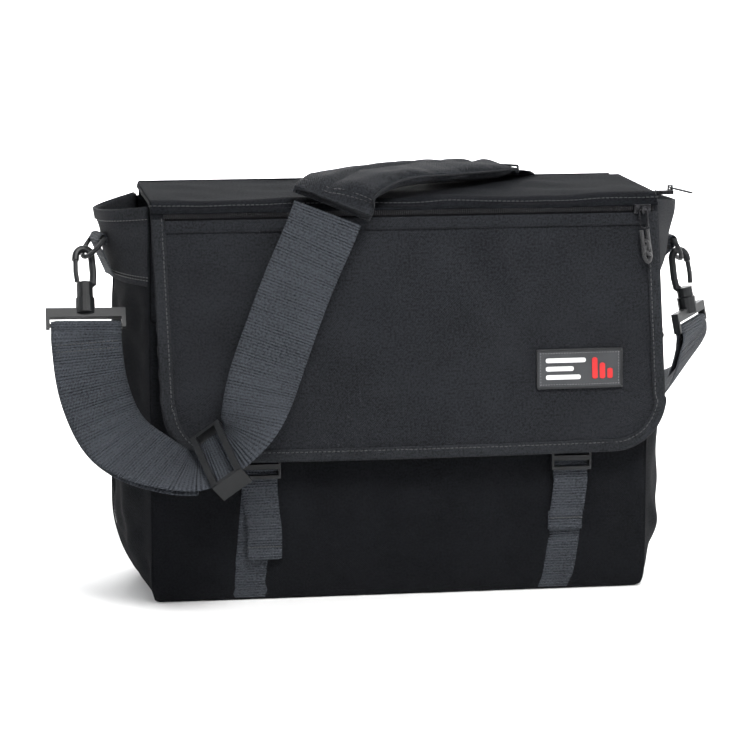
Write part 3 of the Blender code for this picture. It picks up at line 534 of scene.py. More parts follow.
def rim_z(y):
    """Height of an ear panel's top edge."""
    return RIM_FRONT + (RIM_BACK - RIM_FRONT) * (y + HALF_DEPTH) / (2 * HALF_DEPTH) - RIM_DIP * side_shape(y)


def ear_x(y, z):
    """Outer face of an ear panel, as a distance from the middle."""
    share = (z - GUSSET_TOP) / (rim_z(y) - GUSSET_TOP)
    return HALF_WIDTH + (EAR_LOW + (EAR_HIGH - EAR_LOW) * share) * side_shape(y)


def pocket_y(x, z):
    """Plain outer face of the front pocket."""
    swell = (1 - (np.abs(x) / HALF_WIDTH) ** 4) * ease(z / 45) * (1 - 0.4 * ease((z - 75) / 70))
    return -HALF_DEPTH - POCKET_BULGE * swell


def flap_edge(side, z):
    """X of the flap's left (-1) or right (1) edge at one height."""
    top, bottom = FLAP_LEFT if side < 0 else FLAP_RIGHT
    return top + (bottom - top) * (FLAP_TOP - z) / (FLAP_TOP - FLAP_HEM)


def flap_y(x, z):
    """Plain outer face of the flap's hanging part."""
    fall = np.maximum((FLAP_TOP - z) / (FLAP_TOP - FLAP_HEM), 0)
    return FLAP_FRONT - FLAP_STANDOFF * fall ** 0.8 * (1 - 0.45 * (x / 190) ** 2)


def hem_z(x):
    """Lower edge of the flap at one X, rounded at both corners."""
    left, right = FLAP_LEFT[1] + FLAP_CORNER - x, x - (FLAP_RIGHT[1] - FLAP_CORNER)
    over = np.clip(np.maximum(left, right), 0, FLAP_CORNER)
    return FLAP_HEM + FLAP_CORNER - np.sqrt(np.maximum(FLAP_CORNER ** 2 - over ** 2, 0))


def flap_relief(x, z):
    """How far the flap's cloth stands out from its plain shape: broad slack and sewn puckers."""
    inward = np.minimum(np.minimum(x - flap_edge(-1, z), flap_edge(1, z) - x), z - hem_z(x))
    middle = ease((inward - 6) / 45) * ease((ZIP_Z - 7 - z) / 30)
    slack = 1.5 * ripple(x, z, 120, 3) + 0.7 * ripple(x, z, 55, 8)
    pulls = creases(x, z, ((20, 262), (68, 190), 11, 2.2), ((62, 268), (88, 205), 9, 1.8),
                    ((-10, 258), (-40, 180), 13, -1.8), ((110, 262), (130, 215), 10, 1.5),
                    ((-150, 130), (40, 200), 20, 1.6), ((40, 150), (90, 120), 12, 1.3))
    edge = np.exp(-((inward - 11) / 8) ** 2) * ripple(x, z, 17, 11, 5)
    return (slack + pulls) * middle + 0.42 * edge


def flap_front(x, z):
    """Outer face of the flap's cloth, with its slack."""
    return flap_y(x, z) - 0.5 - flap_relief(x, z)


# Camera, light and floor

def look_from(place, target, lens):
    """Camera at a place, aimed at a target."""
    data = bpy.data.cameras.new("camera")
    data.lens, data.sensor_width = lens, 36
    camera = bpy.data.objects.new("camera", data)
    camera.location = place
    camera.rotation_euler = (Vector(target) - Vector(place)).to_track_quat("-Z", "Y").to_euler()
    bpy.context.scene.collection.objects.link(camera)
    bpy.context.scene.camera = camera
    return camera


def area_light(name, place, size, power, target=(0, 0, 0.15), colour=(1, 1, 1)):
    """Soft box aimed at the bag."""
    data = bpy.data.lights.new(name, "AREA")
    data.shape = "RECTANGLE"
    data.size, data.size_y = size
    data.energy = power
    data.color = colour
    light = bpy.data.objects.new(name, data)
    light.location = place
    light.rotation_euler = (Vector(target) - Vector(place)).to_track_quat("-Z", "Y").to_euler()
    bpy.context.scene.collection.objects.link(light)


def studio():
    """Pale sweep, soft boxes and the camera at the product-shot angle."""
    aim = Vector((-0.0057, 0.0271, 0.1474))
    forward = Vector((0.1456, 0.974, -0.1736)).normalized()
    look_from(aim - forward * 2.34, aim, 150)
    look = Finish("studio_floor", 0.9, specular=0.1)
    look.feed(Base_Color=look.ramp(look.noise(look.where(), 3.0), 0.3, (0.86,) * 3, 0.7, (0.9,) * 3))
    bend, reach, turns = 0.9, 3.6, 72
    profile = [(0.02, 0.0), (1.2, 0.0), (reach, 0.0)]
    profile += [(reach + bend * math.sin(t), bend - bend * math.cos(t))
                for t in np.linspace(0.12, math.pi / 2, 12)]
    profile += [(reach + bend, 3.8)]
    points = [(r * math.cos(t), r * math.sin(t), z - 0.0005) for r, z in profile
              for t in np.linspace(0, 2 * math.pi, turns, endpoint=False)]
    faces = strip_faces(len(profile), turns, closed=True) + [list(range(turns))]
    mesh = bpy.data.meshes.new("sweep")
    mesh.from_pydata(points, [], faces)
    mesh.polygons.foreach_set("use_smooth", [True] * len(mesh.polygons))
    mesh.materials.append(look.material)
    sweep = bpy.data.objects.new("sweep", mesh)
    bpy.context.scene.collection.objects.link(sweep)
    world = bpy.data.worlds.new("studio")
    world.use_nodes = True
    world.node_tree.nodes["Background"].inputs["Color"].default_value = (0.95, 0.97, 1.0, 1)
    world.node_tree.nodes["Background"].inputs["Strength"].default_value = 0.42
    bpy.context.scene.world = world
    bpy.context.scene.view_settings.view_transform = "Standard"
    area_light("key", (0.30, -1.35, 1.95), (0.9, 0.7), 58, (0, 0, 0.24), (1, 0.995, 0.985))
    area_light("fill", (1.9, -1.1, 0.9), (1.0, 1.2), 3, colour=(0.95, 0.97, 1))
    area_light("top", (0.0, 0.35, 1.9), (1.4, 1.0), 1.5)
    area_light("rim", (-1.3, 0.9, 1.0), (0.8, 1.0), 1.2)
    area_light("backdrop", (0.4, 2.3, 2.8), (3.2, 1.2), 330, target=(0.6, 4.1, 0.2))


studio()


# Cords come first: a doubled cord that hangs from a puller's eye and turns back up to it

CORD = 2.8


def pull_cord(name, eye, lean, across, length, body, exit_node):
    """Braided cord and its knot, both put on the puller's body."""
    eye, lean, across = np.array(eye, float), unit(lean), unit(across)
    gap = 2.2
    marks = [(gap, 0), (gap, 0.33), (1.1 * gap, 0.66), (gap, 0.9), (0, None),
             (-gap, 0.9), (-1.1 * gap, 0.66), (-gap, 0.33), (-gap, 0)]
    route = [eye + across * off + lean * (length + 1.5 if share is None else length * share)
             for off, share in marks]
    samples = spread(route, 2)
    curve = bpy.data.curves.new(name, "CURVE")
    curve.dimensions = "3D"
    curve.bevel_depth = CORD / 2 * MM
    curve.bevel_resolution = 4
    curve.use_fill_caps = True
    spline = curve.splines.new("POLY")
    spline.points.add(len(samples) - 1)
    for point, sample in zip(spline.points, samples):
        point.co = (*(Vector(sample) * MM), 1.0)
    curve.materials.append(CORD_BRAID)
    piece = bpy.data.objects.new(name, curve)
    bpy.context.scene.collection.objects.link(piece)
    turn = np.linspace(0, 2 * math.pi, 73)
    normal = np.cross(lean, across)
    middle = eye + lean * length * 0.62
    loops = at(np.sin(turn) + 2 * np.sin(2 * turn), np.cos(turn) - 2 * np.cos(2 * turn), -np.sin(3 * turn))
    loops = loops * (0.95, 2.0, 2.3)
    line = middle + loops[:, 0:1] * across + loops[:, 1:2] * lean + loops[:, 2:3] * normal
    knot = new_piece(name + "_knot", [tube_part(line, CORD * 0.47, 8)], CORD_BRAID, body)
    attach(piece, body)
    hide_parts(exit_node)


FLAP_PULL_LEAN = unit((0.06, -0.08, -1))
flap_pull_pivot = np.array((174, flap_y(0, ZIP_Z) - 6.0, ZIP_Z - 1.2))
pull_cord("zip_cord", flap_pull_pivot + FLAP_PULL_LEAN * 14.6, (0.12, -0.09, -1), (1, 0, 0.1), 22,
          "flap_zip_pull", "flap_zip_cord")
SIDE_PULL_LEAN = unit((0.12, 0, -1))
for word, height, depth, length in (("upper", 205.0, 17.6, 26.0), ("lower", 188.0, 26.6, 24.0)):
    eye = np.array((207.3, depth, height)) + SIDE_PULL_LEAN * 14.6
    pull_cord(f"side_cord_{word}", eye, (0.02, 0, -1), (0, 1, 0), length,
              f"expansion_pull_{word}", f"expansion_cord_{word}")


# Body of the bag

def lattice(fn, first, second):
    """Grid of points of a surface given by a function of two arrays."""
    a, b = np.meshgrid(first, second, indexing="ij")
    return np.stack(fn(a, b), axis=2)


def pocket_relief(x, z):
    """Slack and creases of the lower front."""
    off_edge = ease((HALF_WIDTH - np.abs(x)) / 30) * ease(z / 18)
    slack = 1.3 * ripple(x, z * 0.8, 105, 21) + 0.55 * ripple(x, z, 46, 27)
    pulls = creases(x, z, ((-176, 62), (-118, 20), 7, 2.1), ((-172, 38), (-130, 8), 5, -1.2),
                    ((172, 70), (118, 26), 8, 1.7), ((-60, 96), (60, 40), 14, 1.3),
                    ((40, 92), (110, 30), 12, -1.4), ((-40, 14), (60, 12), 6, 1.0))
    for webbing_x in (-107, 120):
        off_edge = off_edge * (1 - 0.97 * np.exp(-((x - webbing_x) / 20) ** 4))
    hem = np.exp(-((z - 5) / 6) ** 2) * ripple(x, z, 19, 33, 5) * 0.45
    side = np.exp(-((HALF_WIDTH - np.abs(x) - 5) / 6) ** 2) * ripple(x, z, 19, 35, 5) * 0.45
    return (slack + pulls) * off_edge + (hem + side) * ease(z / 4) * ease((HALF_WIDTH - np.abs(x)) / 4)


def pocket_front(x, z):
    """Outer face of the pocket's cloth, with its slack."""
    return pocket_y(x, z) - pocket_relief(x, z) * 0.9


def gusset_relief(y, z, seed):
    """Slack of a side panel, pinned along its seams and its zip."""
    pinned = ease((y + HALF_DEPTH) / 16) * ease((HALF_DEPTH - y) / 16)
    pinned = pinned * ease(z / 14) * ease((GUSSET_TOP - z) / 20)
    zipped = 1 - np.exp(-((y - ZIP_DEPTH) / 11) ** 4)
    soft = 1.3 * ripple(y * 1.4, z * 0.55, 60, seed) + 0.6 * ripple(y, z, 30, seed + 5)
    folds = creases(y, z, ((-52, 60), (-14, 22), 6, 1.8), ((-20, 220), (-34, 120), 9, 1.4),
                    ((50, 70), (36, 20), 6, 1.5))
    return (soft + folds) * pinned * zipped


def side_x(y, z, seed, lift=0.0):
    """Outer face of a gusset's cloth, as a distance from the middle."""
    return gusset_x(y, z) + gusset_relief(y, z, seed) + lift


def wall(name, y, top, seed, node):
    """Front or back cloth with a little slack between its seams."""
    sign = math.copysign(1, y)

    def face(z, x):
        """Wall surface over height and width."""
        pinned = ease((HALF_WIDTH - np.abs(x)) / 25) * ease(z / 20) * ease((top - z) / 20)
        return x, y + sign * 0.5 * ripple(x, z, 90, seed) * pinned, z

    grid = lattice(face, np.linspace(0, top, 70), np.linspace(-HALF_WIDTH, HALF_WIDTH, 91))
    grid = grid if sign < 0 else grid[:, ::-1]
    new_piece(name, [sheet_part(grid, 2.0)], CORDURA, "bag", [node])


def front_walls():
    """Front pocket with its folded hem, and the front and back panels."""
    heights = np.concatenate([np.linspace(0, 120, 90), np.linspace(124, POCKET_TOP, 30)])
    across = np.linspace(-HALF_WIDTH, HALF_WIDTH, 181)
    face = lattice(lambda z, x: (x, pocket_front(x, z), z), heights, across)
    hem = lattice(lambda z, x: (x, pocket_front(x, z) - 0.55, z),
                  np.linspace(POCKET_TOP - 12, POCKET_TOP + 0.4, 6), across)
    pocket = [sheet_part(face, 1.8), sheet_part(hem, 1.0)]
    new_piece("pocket_cloth", pocket, CORDURA_PAINTED_SHADE, "bag", ["front_pocket_panel"])
    wall("front_cloth", -57.6, 284.0, 41, "front_panel")
    wall("back_cloth", HALF_DEPTH - 0.6, 282.0, 43, "back_panel")


def gusset(word, side, seed):
    """Two bands of a gusset, with the folds that border its zip."""
    rows = np.concatenate([np.linspace(0, 60, 40), np.linspace(63, GUSSET_TOP + 3, 60)])
    for band, low, high, count in (("front", -59.6, 19.0, 60), ("rear", 25.0, 59.2, 30)):
        face = lattice(lambda z, y: (side * side_x(y, z, seed), y, z), rows, np.linspace(low, high, count))
        lip = (high - np.linspace(0, 4.5, 5)) if band == "front" else (low + np.linspace(0, 4.5, 5))
        fold = lattice(lambda z, y: (side * side_x(y, z, seed, 0.7), y, z), rows, lip)
        new_piece(f"gusset_cloth_{band}_{word}", [sheet_part(face, 2.0), sheet_part(fold, 1.0)], CORDURA_PAINTED_SHADE,
                  "bag", [f"gusset_{band}_{word}"])


def ear_panel(word, side, seed):
    """Ear panel with its folded top and lower hem, and the stitches of that side."""
    depths = np.linspace(-59.4, 59.2, 110)

    def ear(share, y, out=0.0):
        """Panel surface from its lower edge (0) to its rim (1)."""
        z = GUSSET_TOP + share * (rim_z(y) - GUSSET_TOP)
        slack = 0.8 * ripple(y, z, 38, seed + 9) * ease((HALF_DEPTH - np.abs(y)) / 14)
        slack = slack * ease((1 - share) * 4 + 0.2)
        return side * (ear_x(y, z) + slack + 0.6 + out), y, z

    parts = [sheet_part(lattice(ear, np.linspace(-0.03, 1, 30), depths), 2.2),
             sheet_part(lattice(lambda s, y: ear(s, y, 0.9), np.linspace(0.84, 1.015, 8), depths), 1.4),
             sheet_part(lattice(lambda s, y: ear(s, y, 0.8), np.linspace(-0.03, 0.07, 6), depths), 1.0)]
    new_piece(f"ear_cloth_{word}", parts, CORDURA, "bag", [f"ear_panel_{word}"])
    rows = []
    for share, out in ((0.85, 1.0), (0.09, 0.85), (0.05, 0.85)):
        rows.append(stitch_part(at(*ear(share, depths, out)), (side, 0, 0)))
    z = np.linspace(4, GUSSET_TOP - 3, 200)
    for y in (16.3, 27.7):
        rows.append(stitch_part(at(side * side_x(y, z, seed, 0.75), y, z), (side, 0, 0)))
    new_piece(f"side_stitches_{word}", rows, THREAD, "bag")


def base():
    """Base cloth in two bands, parted by the expansion zip."""
    def face(y, x):
        """Underside, pressed nearly flat by the floor."""
        return x, y, 1.75 + 0.25 * ripple(x, y, 60, 61) ** 2 * ease((HALF_WIDTH - np.abs(x)) / 20)

    parts = [sheet_part(lattice(face, np.linspace(low, high, 24), np.linspace(-179.5, 179.5, 90)), 1.5)
             for low, high in ((-59.6, 19.0), (25.0, 59.6))]
    new_piece("base_cloth", parts, CORDURA, "bag", ["base_front", "base_rear"])


def body_walls():
    """Front, back, pocket, gussets, ears and base as cloth panels that share their seams."""
    front_walls()
    for word, side, seed in (("left", -1, 51), ("right", 1, 57)):
        gusset(word, side, seed)
        ear_panel(word, side, seed)
    base()


def seams():
    """Raised seam allowances along the body's corners, and the front's rows of stitches."""
    parts, rows = [], []
    for side in (-1, 1):
        for sign, top in ((-1, 284), (1, 282)):
            z = np.linspace(1.6, top, 120)
            wobble = 0.25 * ripple(z, 0, 26, 70 + side)
            line = at(side * (HALF_WIDTH + 0.5 + wobble), sign * (HALF_DEPTH - 0.6), z)
            parts.append(tube_part(line, 1.25 + 0.12 * ripple(z, 0, 14, 72), 8))
            if sign < 0:
                x = side * (HALF_WIDTH - 4.5)
                y = np.where(z < POCKET_TOP, pocket_front(x, z), -58.2) - 0.1
                rows.append(stitch_part(at(x, y, z), (0, -1, 0)))
    x, y = np.linspace(-HALF_WIDTH, HALF_WIDTH, 200), np.linspace(-HALF_DEPTH, HALF_DEPTH, 90)
    for sign in (-1, 1):
        parts.append(tube_part(at(x, sign * (HALF_DEPTH - 0.7) + 0.25 * ripple(x, 0, 24, 74), 1.6), 1.3, 8))
    for side in (-1, 1):
        parts.append(tube_part(at(side * (HALF_WIDTH + 0.2), y, 1.6), 1.3, 8))
    x, z = np.linspace(-HALF_WIDTH + 5, HALF_WIDTH - 5, 300), POCKET_TOP - 9
    rows.append(stitch_part(at(x, pocket_front(x, z) - 0.6, z), (0, -1, 0)))
    x, z = 18.0, np.linspace(60, POCKET_TOP - 12, 120)
    rows.append(stitch_part(at(x, pocket_front(x, z) - 0.05, z), (0, -1, 0)))
    new_piece("seam_piping", parts, CORDURA_PAINTED_SHADE, "bag")
    new_piece("seam_stitches", rows, THREAD, "bag")


def expansion_chain():
    """Zip tape and coil down one gusset, under the base and up the other."""
    heights = np.linspace(GUSSET_TOP - 1, 5, 60)
    right = np.stack([gusset_x(ZIP_DEPTH, heights) - 0.6, heights], axis=1)
    turn = [(174, 0.9), (177.5, 2.0)]
    path = np.concatenate([right * (-1, 1), [(-x, z) for x, z in turn[::-1]], turn, right[::-1]])
    line = resample(at(path[:, 0], ZIP_DEPTH, path[:, 1]), 2.0)
    across = np.broadcast_to((0.0, 1.0, 0.0), line.shape)
    out = unit(np.cross(unit(np.gradient(line, axis=0)), across))
    loop = [(-4.2, -0.6), (4.2, -0.6), (4.2, 0.0), (0.5, 0.1), (-0.5, 0.1), (-4.2, 0.0)]
    tape = swept_part(line - out * 0.9, across, out, loop)
    coil = teeth_part(line - out * 0.35, out, across, 4.6, 1.2)
    new_piece("expansion_tape", [tape], ZIP_TAPE_BLACK_AND_SHADE, "bag", ["expansion_zip"])
    new_piece("expansion_coil", [coil], COIL_BLACK_AND_SHADE, "bag")


def divider():
    """Padded divider with its bound top edge."""
    half, top = 172.0, 236.0

    def face(depth, sign, seed):
        """One face of the pad, fuller away from its edges."""
        def surface(z, x):
            swell = ease((half - np.abs(x)) / 12) * ease((top - z) / 12) * ease(z / 12)
            return x, depth + sign * 1.3 * swell * (1 + 0.25 * ripple(x, z, 60, seed)), z
        return lattice(surface, np.linspace(3.4, top, 80), np.linspace(-half, half, 120))

    points, faces, cloth = sheet_part(face(35.4, -1, 81), 1.0)
    points = np.concatenate([points[:len(points) // 2], face(38.6, 1, 83).reshape(-1, 3)])
    pad = new_piece("divider_pad", [(points, faces, cloth)], LINING, "bag", ["laptop_divider"])
    edge = at(np.linspace(-half, half, 150), 37, top)
    new_piece("divider_binding", [tube_part(edge, 2.6, 10)], TAPE, "bag")


def main_zip():
    """The two halves of the open top zip."""
    flat = (0, 1, 0)
    halves = {"front": [((-170, -48, 279), flat), ((0, -48, 279), flat), ((140, -48, 279), flat),
                        ((178, -30, 279), (-0.6, 0.8, 0)), ((196, -4, 281), (-0.82, 0.57, 0))],
              "back": [((-170, 50.5, 277), flat), ((0, 50.5, 277), flat), ((140, 50.5, 277), flat),
                       ((176, 38, 278), (0.6, 0.8, 0)), ((194, 19, 281), (0.75, 0.66, 0))]}
    for word, stations in halves.items():
        centre, _, across, normal = run_frames(stations, 24)
        centre = centre + at(0, 0, 0.7 * ripple(centre[:, 0], centre[:, 1], 70, 91))
        tape = swept_part(centre, across, normal, [(-5.5, -0.4), (5.5, -0.4), (5.5, 0.4), (-5.5, 0.4)])
        new_piece(f"main_tape_{word}", [tape], ZIP_TAPE_BLACK_AND_SHADE, "bag", [f"main_zip_tape_{word}"])
        inward = 4.6 if word == "front" else -4.6
        coil = teeth_part(centre + across * inward + normal * 0.5, normal, across, 2.2, 1.3)
        new_piece(f"main_coil_{word}", [coil], COIL_BLACK_AND_SHADE, "bag")


body_walls()
seams()
expansion_chain()
divider()
main_zip()


# Flap

FOLD_Y, FOLD_Z = FLAP_FRONT + FLAP_EDGE, FLAP_TOP - FLAP_EDGE


def folded(rear, lift, radius, rows, turns):
    """Depth and height along the flap's top, from its rear edge round the front fold."""
    line = [(y, FLAP_TOP + lift) for y in np.linspace(rear, FOLD_Y, rows)]
    return line + [(FOLD_Y - radius * math.sin(t), FOLD_Z + radius * math.cos(t)) for t in turns]


def top_relief(x, y):
    """Gentle hollows of the flap's top, which sags a little between the seams."""
    inward = np.minimum(x - FLAP_LEFT[0], FLAP_RIGHT[0] - x)
    return (ease(inward / 30) * ease((58 - y) / 25) * (0.9 * ripple(x, y * 1.5, 110, 101) - 0.5)
            + 0.35 * ripple(x, y, 40, 103) * ease(inward / 12))


def flap_cloth():
    """Flap shell from the hinge seam over the fold to the hem."""
    shares = np.concatenate([np.linspace(0, 0.06, 14), np.linspace(0.065, 0.935, 150),
                             np.linspace(0.94, 1, 14)])
    turns = np.linspace(0.12, math.radians(82), 10)
    depth, top_z = np.array(folded(59.0, 0.0, FLAP_EDGE, 56, turns)).T
    columns = []
    for share in shares:
        hem_x = FLAP_LEFT[1] + (FLAP_RIGHT[1] - FLAP_LEFT[1]) * share
        z = np.linspace(276.5, hem_z(hem_x) + 0.4, 150)
        left, right = flap_edge(-1, z), flap_edge(1, z)
        x = left + (right - left) * share
        top_x = flap_edge(-1, top_z) + (flap_edge(1, top_z) - flap_edge(-1, top_z)) * share
        rise = top_relief(top_x, depth) * ease((depth - FLAP_FRONT - 3) / 12)
        top = at(top_x, depth - 0.5 * (depth < -60), top_z + np.minimum(rise, 0.6))
        columns.append(np.vstack([top, at(x, flap_front(x, z), z)]))
    shell = sheet_part(np.stack(columns, axis=1), 2.4)
    new_piece("flap_cloth", [shell], CORDURA, "flap", ["flap_shell"])


def storm_cover():
    """Top layer that overhangs the zip: a folded lower edge with a stitch row."""
    radius = FLAP_EDGE + 2.0
    line = folded(57.5, 1.9, radius, 50, np.linspace(0.1, 1.15, 9))
    line = np.array(line + [(FOLD_Y - radius - 0.4, 285.4), (FOLD_Y - radius - 1.0, 284.4)])

    def cover(i, x):
        """Cover's surface over the row of its section and its width."""
        y, z = line[i.astype(int), 0], line[i.astype(int), 1]
        lip = ease((z - 283) / 8)
        rise = np.minimum(top_relief(x, y), 0.9) * lip
        wave = (0.9 * ripple(x, 0, 85, 111) + 0.4 * ripple(x, 0, 33, 113)) * (1 - lip)
        return x, y - 0.5 * (1 - lip) * (1 + 0.8 * wave), z + rise + 0.5 * wave

    grid = lattice(cover, np.arange(len(line)), np.linspace(FLAP_LEFT[0] + 0.4, FLAP_RIGHT[0] - 0.4, 190))
    roll = tube_part(grid[-1] + (0, 0.6, -0.15), 1.25, 8)
    new_piece("storm_cover_cloth", [sheet_part(grid, 1.6), roll], TOP_CLOTH_PAINTED_SHADE, "flap",
              ["flap_storm_cover"])
    face = normals_of(grid)[-5]
    new_piece("storm_stitches", [stitch_part(grid[-5] + face * 0.1, face)], THREAD, "flap")


def rear_seam():
    """Cloth that joins the flap to the back panel, curved round the hinge."""
    x = np.linspace(-178.5, 178.5, 120)
    line = [(57.0, FLAP_TOP + 1.2), (59.5, FLAP_TOP + 1.3), (61.3, FLAP_TOP + 0.5), (62.4, FLAP_TOP - 1.8),
            (62.5, 286.0), (61.8, 282.5), (60.9, 278.5), (60.5, 270.0)]
    line = spread(line, 4)
    grid = np.stack([at(x, y + 0.2 * ripple(x, 0, 30, 120), z) for y, z in line])
    seam = new_piece("rear_seam_cloth", [sheet_part(grid, 1.2)], CORDURA)
    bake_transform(seam)
    row = grid[-5] + (0, 0.1, 0)
    new_piece("rear_stitches", [stitch_part(row, (0, 1, 0))], THREAD, "bag")


BORDER_PITCH = 2.2
# Section of the binding: distance in from the flap's edge, and how far it stands out
BINDING_FRONT = [(8.4, 0.3), (8.7, 0.9), (7.0, 1.05), (4.0, 1.2), (1.5, 1.15), (0.0, 0.75)]
BINDING_BACK = [(-0.7, -0.5), (-0.7, -2.2), (0.0, -3.3), (3.0, -3.6), (7.0, -3.5), (8.6, -3.3), (8.4, -2.7),
                (4.0, -2.6), (0.9, -2.4), (0.4, -1.2), (0.9, 0.2), (4.0, 0.25)]


def border(inset):
    """Line that runs inside the flap's free edges, as (X, Z) with its outward direction."""
    reach, low = FLAP_CORNER - inset, FLAP_HEM + FLAP_CORNER
    left, right = FLAP_LEFT[1] + FLAP_CORNER, FLAP_RIGHT[1] - FLAP_CORNER
    turns = np.linspace(0, math.pi / 2, 26)[1:]
    marks = [(flap_edge(-1, z) + inset, z) for z in np.linspace(279, low, 50)]
    marks += [(left - reach * math.cos(t), low - reach * math.sin(t)) for t in turns]
    marks += [(x, FLAP_HEM + inset) for x in np.linspace(left, right, 110)[1:-1]]
    marks += [(right + reach * math.cos(t), low - reach * math.sin(t)) for t in turns[::-1]]
    marks += [(flap_edge(1, z) - inset, z) for z in np.linspace(low, 279, 50)]
    marks = np.array(marks)
    marks = resample(at(marks[:, 0], marks[:, 1], 0), BORDER_PITCH)[:, :2]
    ahead = unit(np.gradient(marks, axis=0))
    return marks, np.stack([ahead[:, 1], -ahead[:, 0]], axis=1)


def flap_border():
    """Grosgrain binding folded over the flap's edges, with its row of stitches."""
    marks, outward = border(1.0)
    dip = 0.2 * ripple(np.arange(len(marks)) * BORDER_PITCH, 0, 15, 131)
    loop = BINDING_FRONT + BINDING_BACK
    rings = []
    for inward, lift in loop:
        x, z = (marks - outward * inward).T
        rings.append(at(x, flap_front(x, z) - lift - dip * (lift > 0.5), z))
    rings = np.stack(rings, axis=1)
    length = np.arange(len(marks))[:, None] * BORDER_PITCH
    cloth = at(length, np.array([inward for inward, _ in loop])[None], 0)
    tape = (rings.reshape(-1, 3), bar_faces(*rings.shape[:2]), cloth.reshape(-1, 3))
    new_piece("binding_tape", [tape], TAPE, "flap", ["flap_binding"])
    x, z = border(7.6)[0].T
    thread = stitch_part(at(x, flap_front(x, z) - 1.05, z), (0, -1, 0))
    new_piece("binding_stitches", [thread], THREAD, "flap")


def flap_zip():
    """Coil chain and tape below the storm cover."""
    x = np.linspace(-170, 182, 300)
    tape = np.stack([at(x, flap_y(x, z) - 0.9, z) for z in (ZIP_Z + 4.5, ZIP_Z - 5.5)])
    new_piece("flap_zip_tape", [sheet_part(tape, 0.6)], ZIP_TAPE_BLACK_AND_SHADE, "flap", ["flap_zip_chain"])
    coil = teeth_part(at(x, flap_y(x, ZIP_Z) - 1.5, ZIP_Z), (0, -1, 0), (0, 0, 1), 4.6, 1.2)
    new_piece("flap_zip_coil", [coil], COIL_BLACK_AND_SHADE, "flap")
    fold = lattice(lambda z, a: (a, flap_front(a, z) - 0.75 * ease((z - 270.5) / 1.2), z),
                   np.linspace(269.5, 278.3, 9), x)
    new_piece("zip_facing", [sheet_part(fold, 1.0)], CORDURA, "flap")
    z = 272.6
    thread = stitch_part(at(x, flap_front(x, z) - 0.85, z), (0, -1, 0))
    new_piece("zip_stitches", [thread], THREAD, "flap")


def slab(low, high, lift, thick, corner):
    """Rounded rectangle between two (X, Z) corners, that follows the flap."""
    grid = []
    for z in np.linspace(low[1], high[1], 22):
        end = min(z - low[1], high[1] - z)
        pull = corner - math.sqrt(max(corner ** 2 - max(corner - end, 0) ** 2, 0))
        x = np.linspace(low[0] + pull, high[0] - pull, 40)
        grid.append(at(x, flap_front(x, z) - lift, z))
    return sheet_part(np.stack(grid)[::-1], thick)


def label():
    """Rubber patch with a raised rim, a stitched border and a plain generic motif."""
    left, low, right, high = 96.3, 152.8, 159.7, 181.2
    patch = slab((left, low), (right, high), 1.5, 1.3, 1.2)
    new_piece("label_base", [patch], RUBBER, "flap", ["label_patch"])
    bars = [((left, low), (right, low + 1.4)), ((left, high - 1.4), (right, high)),
            ((left, low + 1.2), (left + 1.4, high - 1.2)), ((right - 1.4, low + 1.2), (right, high - 1.2))]
    new_piece("label_rim", [slab(*bar, 2.1, 1.2, 0.3) for bar in bars], RUBBER_EDGE, "flap")
    near_x, near_z, far_x, far_z = left + 2.9, low + 2.9, right - 2.9, high - 2.9
    corners = [(near_x, near_z), (far_x, near_z), (far_x, far_z), (near_x, far_z), (near_x, near_z)]
    rows = []
    for (ax, az), (bx, bz) in zip(corners, corners[1:]):
        x, z = np.linspace(ax, bx, 40), np.linspace(az, bz, 40)
        rows.append(stitch_part(at(x, flap_front(x, z) - 1.5, z), (0, -1, 0), 2.0, 1.4, 0.22))
    new_piece("label_stitches", rows, THREAD_PALE, "flap")
    pale = [((103.0, z), (stop, z + 3.3)) for z, stop in ((171.4, 132.5), (165.4, 123.5), (159.4, 128.5))]
    red = [((x, 159.4), (x + 4.0, top)) for x, top in ((137.2, 174.7), (142.8, 170.7), (148.4, 166.7))]
    for name, marks, material in (("label_bars", pale, MARK_PALE), ("label_accent", red, MARK_RED)):
        new_piece(name, [slab(*mark, 2.05, 0.7, 1.4) for mark in marks], material, "flap")


flap_cloth()
storm_cover()
rear_seam()
flap_border()
flap_zip()
label()


# Shoulder strap

STRAP_WIDTH, STRAP_THICK, LAYER, CUFF = 50.0, 1.5, 1.9, 2.8
LEFT_RUN = [((-224.6, -39.9, 200.7), (1, 0, 0)), ((-224.7, -42.7, 196.5), (1, 0, 0)),
            ((-224.8, -47.6, 189), (1, 0, 0)),
            ((-222, -56, 160), (0.97, 0.1, 0.15)), ((-213, -66, 134), (0.75, 0.4, 0.5)),
            ((-204, -78, 122), (0.5, 0.6, 0.62)), ((-192.8, -87, 115.5), (0.33, 0.72, 0.61))]
ADJUSTER_ACROSS = (-0.397, 0.882, 0.254)
FRONT_RUN = [((-182, -96, 110.5), (0.2, 0.8, 0.56)), ((-166, -105, 105), (-0.1, 0.9, 0.4)),
             ((-151.3, -110.7, 103.9), ADJUSTER_ACROSS), ((-144, -111.8, 109.2), ADJUSTER_ACROSS),
             ((-136, -113, 115), ADJUSTER_ACROSS), ((-128, -114.2, 120.9), ADJUSTER_ACROSS),
             ((-120, -115.4, 126.7), ADJUSTER_ACROSS), ((-113.5, -112, 139), (-0.55, 0.72, 0.42)),
             ((-106, -102, 162), (-0.82, 0.4, 0.4)),
             ((-96, -93, 188.5), (-0.92, 0.1, 0.37)), ((-78, -91, 236), (-0.93, 0, 0.36)),
             ((-61, -89, 273), (-0.95, 0, 0.3)), ((-56.5, -86, 284), (-0.97, 0.05, 0.15))]
